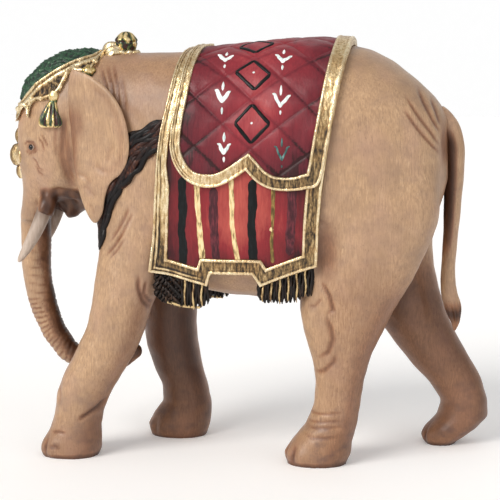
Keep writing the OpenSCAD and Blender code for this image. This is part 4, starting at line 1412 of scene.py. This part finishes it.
def skin_layer(name, low, high, height, depth, outline, minus=None):
    """A layer raised over part of the carved wood, its top and its stain shaped by height(P)."""
    obj = linked(name, carving.data.copy())
    take(obj)
    points = points_of(obj)
    outside = ((points < np.array(low)) | (points > np.array(high))).any(axis=1)
    bpy.ops.object.mode_set(mode="EDIT")
    bpy.ops.mesh.select_mode(type="VERT")
    bpy.ops.object.mode_set(mode="OBJECT")
    obj.data.vertices.foreach_set("select", outside)
    bpy.ops.object.mode_set(mode="EDIT")
    bpy.ops.mesh.delete(type="VERT")
    bpy.ops.mesh.select_all(action="SELECT")
    bpy.ops.mesh.subdivide(number_cuts=1, smoothness=1)
    bpy.ops.object.mode_set(mode="OBJECT")
    for loose in loose_parts(obj):
        if len(loose.data.vertices) < 400:
            bpy.data.objects.remove(loose)
        else:
            obj = loose
    obj.name = name
    start_carving(obj)
    rise, dark = height(P)
    place(obj, P + N * rise[:, None])
    note(obj, "stain", dark)
    finish_with(obj, "SOLIDIFY", thickness=depth / 1000, offset=-1)
    block = prism(outline)
    saw(obj, block, "INTERSECT")
    bpy.data.objects.remove(block)
    if minus is not None:
        block = prism(minus)
        saw(obj, block, "DIFFERENCE")
        bpy.data.objects.remove(block)
    set_edges(obj, 55)
    return obj


def tufts(p):
    """Rows of short tufts that lean back, each row overlapping the next."""
    x, y, z = p.T
    edge, _ = distance_to(CAP_EDGE, x, z)
    back = (x + 76) * 0.8 + (z - 108) * 0.6
    row = back / 2.1 + 0.35 * np.sin(y * 1.3)
    lock = np.sin(y * 2.3 + 1.7 * np.floor(row) + 0.6 * np.sin(back))
    step = row % 1.0
    rise = 0.75 + 0.5 * (1 - step) ** 1.5 * (0.55 + 0.45 * lock) + 0.12 * np.sin(y * 6.1 + back * 1.4)
    rise *= fade(edge, 0.0, 1.0) * 0.4 + 0.6
    return rise, 0.75 * step * (0.6 - 0.4 * lock) + 0.2


def make_green():
    """Dark green oil paint on carved tufts, with black in the cuts and brighter green streaks."""
    material, tree, shader = new_finish("dark green oil paint")
    spot, depth = carved_place(tree)
    leaves = noise(tree, spot, 1300, (1, 1, 0.5), 4, 0.65)         # tufts 0.8 mm wide
    sway = sums(tree, "MULTIPLY_ADD", leaves, 1.3, -0.6)
    total = sums(tree, "ADD", sway, depth)
    settle(tree, shader, Base_Color=ramp(tree, total, (0.02, "#6d8a5e"), (0.16, "#2f5a3a"),
                                         (0.4, "#1b3f28"), (0.8, "#0a1a12")),
           Roughness=ramp(tree, leaves, (0.3, 0.35), (0.7, 0.55)))
    roughen(tree, shader, leaves, 0.6, 0.0004)
    return material


cap_outline = curve(CAP_EDGE, 6).tolist() + CAP_BACK
cap = skin_layer("head_cap_carved", (-80, -20, 103), (-43.4, 20, 140), tufts, 1.7, cap_outline)
fit(cap, make_green(), "green_paint", "head_cap")

# ---------------------------------------------------------------- headstall
# Round the cap runs a gilded headstall carved like gathered braid: a bead along the cap, a
# scalloped lower edge with a drip on the brow, and a strand that runs back to a knot.
STALL_EDGE = [(-77, 102.6), (-72.4, 103), (-70.8, 104.2), (-69.6, 106.6), (-68.5, 107.8), (-67.5, 107),
              (-67, 104.6), (-66.3, 104.6), (-65.9, 107.6), (-64.8, 109.2), (-63.2, 109.8), (-61, 109.9),
              (-58.6, 110.6), (-56.8, 111.4), (-55.4, 113), (-54.3, 115.4), (-53, 118), (-51.6, 118.4),
              (-49, 118.2), (-46.8, 118.6), (-45.2, 120.6)]


def braid(p):
    """Height of the braid: a bead along the cap, one along the lower edge, a groove between."""
    x, y, z = p.T
    upper, _ = distance_to(CAP_EDGE, x, z)
    lower, along = distance_to(STALL_EDGE, x, z)
    bead = np.exp(-((upper - 0.75) / 0.6) ** 4) + np.exp(-((upper - 2.3) / 0.62) ** 4)
    rim = np.exp(-((lower - 0.6) / 0.5) ** 4)
    gathers = 0.2 * np.sin(along * 75 + 0.8 * np.sin(x * 0.9))
    rise = 0.45 + 0.8 * bead + 0.6 * rim + gathers * (1 - bead) * (1 - rim)
    dark = 0.95 - 0.95 * np.maximum(bead, rim) - gathers
    return rise, np.clip(dark, 0, 1) * 0.8


stall_outline = STALL_EDGE + [(-44.2, 122.6), (-44.2, 134), (-77, 134)]
stall = skin_layer("headstall_carved", (-80, -20, 100), (-43, 20, 140), braid, 1.9, stall_outline,
                   minus=cap_outline)
fit(stall, gold_leaf, "gold_leaf", "headstall")

# ---------------------------------------------------------------- crown ornament
# On the poll sits a gadrooned ball on a leafy cushion, turned and carved, gilded, with green
# and red glaze left in the hollows.
take()
bpy.ops.mesh.primitive_uv_sphere_add(segments=96, ring_count=48, radius=0.0036)
ball = bpy.context.object
ball.name = "crown_ball_carved"
start_carving(ball)
turn = np.arctan2(Y, X)
rise = Z / 3.6
lobes = np.abs(np.sin(4 * turn + 1.1 * rise))
ends = np.sqrt(np.clip(1 - rise ** 2, 0, 1))
push = -0.55 * (1 - lobes ** 0.6) * ends + 0.12 * np.sin(7 * rise) * ends
push -= 0.3 * hump(rise - 0.1, 0.09)
stain = (0.75 * (1 - lobes) + 0.45 * hump(rise - 0.1, 0.14) + 0.3 * (rise < 0.0)
         + 0.3 * np.sin(2.3 * turn + 5 * rise) + 0.2 * np.sin(5 * turn - 9 * rise))
P += (-37.9, 0, 127.4)
end_carving(ball)
bpy.ops.object.shade_smooth()


def make_glazed_gold():
    """Gold leaf with green, and in the deepest cuts red, glaze wiped off the high places."""
    material, tree, shader = new_finish("gold leaf with green glaze")
    spot, depth = carved_place(tree)
    wiped = noise(tree, spot, 900, (1, 1, 0.6), 3, 0.6)            # wiped patches of 1 mm
    sway = sums(tree, "MULTIPLY_ADD", wiped, 1.5, -0.72)
    total = sums(tree, "ADD", sway, depth)
    settle(tree, shader, Base_Color=ramp(tree, total, (0.1, "#f3dba6"), (0.3, "#c9a96a"), (0.5, "#5f6b40"),
                                         (0.72, "#1c3325"), (1.0, "#3a0f0c")),
           Metallic=ramp(tree, total, (0.3, 0.8), (0.6, 0.1)),
           Roughness=ramp(tree, wiped, (0.3, 0.25), (0.7, 0.4)))
    roughen(tree, shader, wiped, 0.3, 0.0003)
    return material


glazed_gold = make_glazed_gold()
fit(ball, glazed_gold, "gold_leaf", "crown_ball")

leafy = []
for k in range(9):
    a = math.radians(40 * k + 20)
    c, d = math.cos(a), math.sin(a)
    leafy.append(tube("leaf", [(-37.9 + 1.2 * c, 1.4 * d, 123.6, 1.2),
                               (-37.9 + 3.2 * c, 3.6 * d, 124.2, 1.25),
                               (-37.9 + 4.1 * c, 4.5 * d, 125.0, 0.5)], 14, 5))
for x, y, z, r in [(-43.2, 0, 125.6, 2.0), (-42.0, 2.6, 124.9, 1.5), (-42.0, -2.6, 124.9, 1.5),
                   (-41.2, 4.6, 124.0, 1.2), (-41.2, -4.6, 124.0, 1.2)]:
    leafy.append(tube("leaf", [(x - 1.8, y, z - 1.8, r * 0.5), (x, y, z, r),
                               (x + 2, y * 0.8, z + 0.4, r * 0.85),
                               (x + 3.6, y * 0.6, z - 0.4, r * 0.5)], 16, 6,
                      lambda t, turn: 1 + 0.12 * np.sin(4 * turn)))
crown = join_up(leafy, "crown_base_carved")
set_edges(crown, 60)
start_carving(crown)
# Painted shade on the undersides of the leaves, with darker and lighter blotches
stain = 0.6 * fade(-N[:, 2], -0.2, 0.6) + 0.25 * np.sin(X * 2.3) * np.sin(Y * 1.9)
end_carving(crown)
fit(crown, gold_leaf, "gold_leaf", "crown_base")

# ---------------------------------------------------------------- tassels, knots and frontlet
# From a knot on each temple hangs a bell of cords; a small knot ties the strand behind; lobed
# beads run down the forehead. All are carved in the solid, gilded and glazed.
BELL = [(-57.4, 112.4, 1.2), (-57.6, 111, 1.6), (-57.7, 109.6, 1.2), (-57.9, 108.4, 1.6), (-58.3, 106, 2.5),
        (-58.5, 103.8, 3.2), (-58.5, 102.4, 3.2), (-58.5, 101.6, 2.5)]


def flutes(t, turn):
    return 1 + 0.13 * fade(t, 0.3, 0.55) * np.cos(11 * turn)


for side, word in SIDES:
    spots = []
    for x, z, r in BELL:
        spots.append((x, probe(x, z, side)[1] + side * 0.35, z, r))
    bell = tube("side_tassel_" + word + "_carved", spots, 88, 10, flutes)
    start_carving(bell)
    line = curve(spots, 10)
    centre_y = np.interp(-Z, -line[:, 2], line[:, 1])
    Y[:] = centre_y + (Y - centre_y) * 0.62
    turn = np.arctan2(Y - centre_y, X + 58.3)
    cords = np.cos(11 * np.arctan2((Y - centre_y) / 0.62, X + 58.3))
    skirt = 1 - fade(Z, 107, 110.4)
    stain = skirt * (0.62 - 0.36 * cords) + 0.34 * np.sin(3 * turn + 1 + 0.5 * Z) * skirt
    stain += 0.5 * hump(Z - 109.6, 0.5) - 0.8 * hump(Z - 101.7, 0.45)
    end_carving(bell)
    set_edges(bell, 60)
    fit(bell, glazed_gold, "gold_leaf", "side_tassel_" + word)

    y = probe(-47.2, 118.6, side)[1]
    bits = [tube("knot", [(-49.4, y - side * 0.4, 119, 0.5), (-48, y + side * 0.5, 118.8, 1.2),
                          (-46.6, y + side * 0.5, 118.4, 1.3), (-45.2, y - side * 0.2, 119.4, 0.6)], 20, 6,
                 lambda t, turn: 1 + 0.12 * np.sin(30 * t)),
            tube("knot", [(-47.2, y, 120.4, 0.6), (-47.3, y + side * 1.2, 119, 1.0),
                          (-47.2, y + side * 1.1, 117.6, 0.9), (-47.4, y - side * 0.2, 116.4, 0.4)], 20, 6)]
    knot = join_up(bits, "poll_knot_" + word + "_carved")
    set_edges(knot, 60)
    start_carving(knot)
    # Painted shade on the undersides of the knot
    stain = 0.7 * fade(-N[:, 2], -0.1, 0.7) + 0.2
    end_carving(knot)
    fit(knot, glazed_gold, "gold_leaf", "poll_knot_" + word)

beads = []
for z_top, z_low, out, wide in [(105.4, 101, -69.5, 2.4), (101.8, 95.2, -69.2, 3.9),
                                (97, 88, -69.6, 5), (90.6, 84.4, -69, 3.9)]:
    z = np.linspace(z_top, z_low, 7)
    t = np.linspace(0, 1, 7)
    radius = wide * np.sqrt(np.clip(1 - (2 * t - 1) ** 2, 0.02, 1))
    beads.append(tube("bead", np.stack([out + 0.25 * np.cos(2 * np.pi * t), 0 * t, z, radius], -1), 56, 6,
                      lambda t, turn: 1 + 0.07 * np.cos(7 * turn + 1) + 0.05 * np.sin(3 * turn)))
frontlet = join_up(beads, "frontlet_carved")
set_edges(frontlet, 60)
start_carving(frontlet)
Y *= 1.6
turn = np.arctan2(Y / 1.6, X + 70)
stain = 0.3 - 0.25 * np.cos(7 * turn + 1)
end_carving(frontlet)
fit(frontlet, gold_leaf, "gold_leaf", "frontlet")

# ---------------------------------------------------------------- dowels
# Birch dowels hold the head, the trunk and the legs to the body. They are turned, fluted for
# glue and driven in before the carving starts, so the joints hide them.


def make_dowel_wood():
    """Plain birch dowel: pale, straight grained along its length, sanded and left bare."""
    material, tree, shader = new_finish("bare birch dowel")
    spot = add(tree, "TexCoord").outputs["Object"]
    grain = noise(tree, spot, 1600, (1, 1, 0.1), 3)                # grain lines 0.6 mm apart
    settle(tree, shader, Base_Color=ramp(tree, grain, (0.3, "#c9a77c"), (0.7, "#e2c8a2")), Roughness=0.7)
    roughen(tree, shader, grain, 0.2, 0.0002)
    return material


dowel_wood = make_dowel_wood()
for node in ("neck_dowel", "trunk_dowel", "leg_dowels"):
    frame["nodes"][node].data.materials.clear()
    frame["nodes"][node].data.materials.append(dowel_wood)

# ---------------------------------------------------------------- floor, light and camera
# A plain white studio floor, a soft key light from the front left, a weak fill from the front
# right and a weak one from behind.
bpy.ops.mesh.primitive_grid_add(x_subdivisions=4, y_subdivisions=4, size=6)
floor = bpy.context.object
floor.name = "studio_floor"
paper, tree, shader = new_finish("white studio paper")
paper_spot = add(tree, "TexCoord").outputs["Object"]
settle(tree, shader, Base_Color=ramp(tree, noise(tree, paper_spot, 900), (0.3, "#fcfbfa"),
                                     (0.7, "#fffefd")), Roughness=0.9, Emission_Color=(1, 1, 1, 1),
                                     Emission_Strength=0.13)
floor.data.materials.append(paper)

# A white backdrop stands all round, and sheds no light on the figure
bpy.ops.mesh.primitive_uv_sphere_add(segments=64, ring_count=32, radius=5)
backdrop = bpy.context.object
backdrop.name = "studio_backdrop"
cloth, tree, shader = new_finish("white backdrop cloth")
settle(tree, shader, Base_Color=(0, 0, 0, 1))
cloth_spot = add(tree, "TexCoord").outputs["Object"]
settle(tree, shader, Emission_Color=ramp(tree, noise(tree, cloth_spot, 40), (0.3, "#ffffff"),
                                         (0.7, "#fefefe")), Emission_Strength=1.0, Specular_IOR_Level=0)
backdrop.data.materials.append(cloth)
backdrop.visible_diffuse = backdrop.visible_glossy = backdrop.visible_transmission = False
backdrop.visible_shadow = False

for name, spot, soft, strength, tint in [("key", (-0.55, -0.75, 0.65), 32, 2.2, (1, 0.97, 0.93)),
                                         ("fill", (0.8, -0.6, 0.5), 60, 0.35, (0.95, 0.97, 1)),
                                         ("back", (0.2, 0.9, 0.6), 60, 0.25, (1, 1, 1))]:
    lamp = bpy.data.lights.new(name, "SUN")
    lamp.angle, lamp.energy, lamp.color = math.radians(soft), strength, tint
    light = bpy.data.objects.new(name, lamp)
    light.location = spot
    light.rotation_mode = "QUATERNION"
    light.rotation_quaternion = (Vector(spot) - Vector((0, 0, 0.06))).to_track_quat("Z", "Y")
    bpy.context.collection.objects.link(light)

world = bpy.data.worlds.new("studio")
world.use_nodes = True
world.node_tree.nodes["Background"].inputs[0].default_value = (1, 1, 1, 1)
world.node_tree.nodes["Background"].inputs[1].default_value = 0.5
bpy.context.scene.world = world
bpy.context.scene.view_settings.view_transform = "Standard"

lens = bpy.data.cameras.new("camera")
lens.lens, lens.sensor_width = 114.84, 36
camera = bpy.data.objects.new("camera", lens)
target = Vector((0.0011, 0, 0.063))
camera.location = (0.0702, -0.4917, 0.1222)
camera.rotation_mode = "QUATERNION"
camera.rotation_quaternion = (camera.location - target).to_track_quat("Z", "Y")
lens.clip_start, lens.clip_end = 0.01, 20
bpy.context.collection.objects.link(camera)
bpy.context.scene.camera = camera

bpy.data.objects.remove(carving)
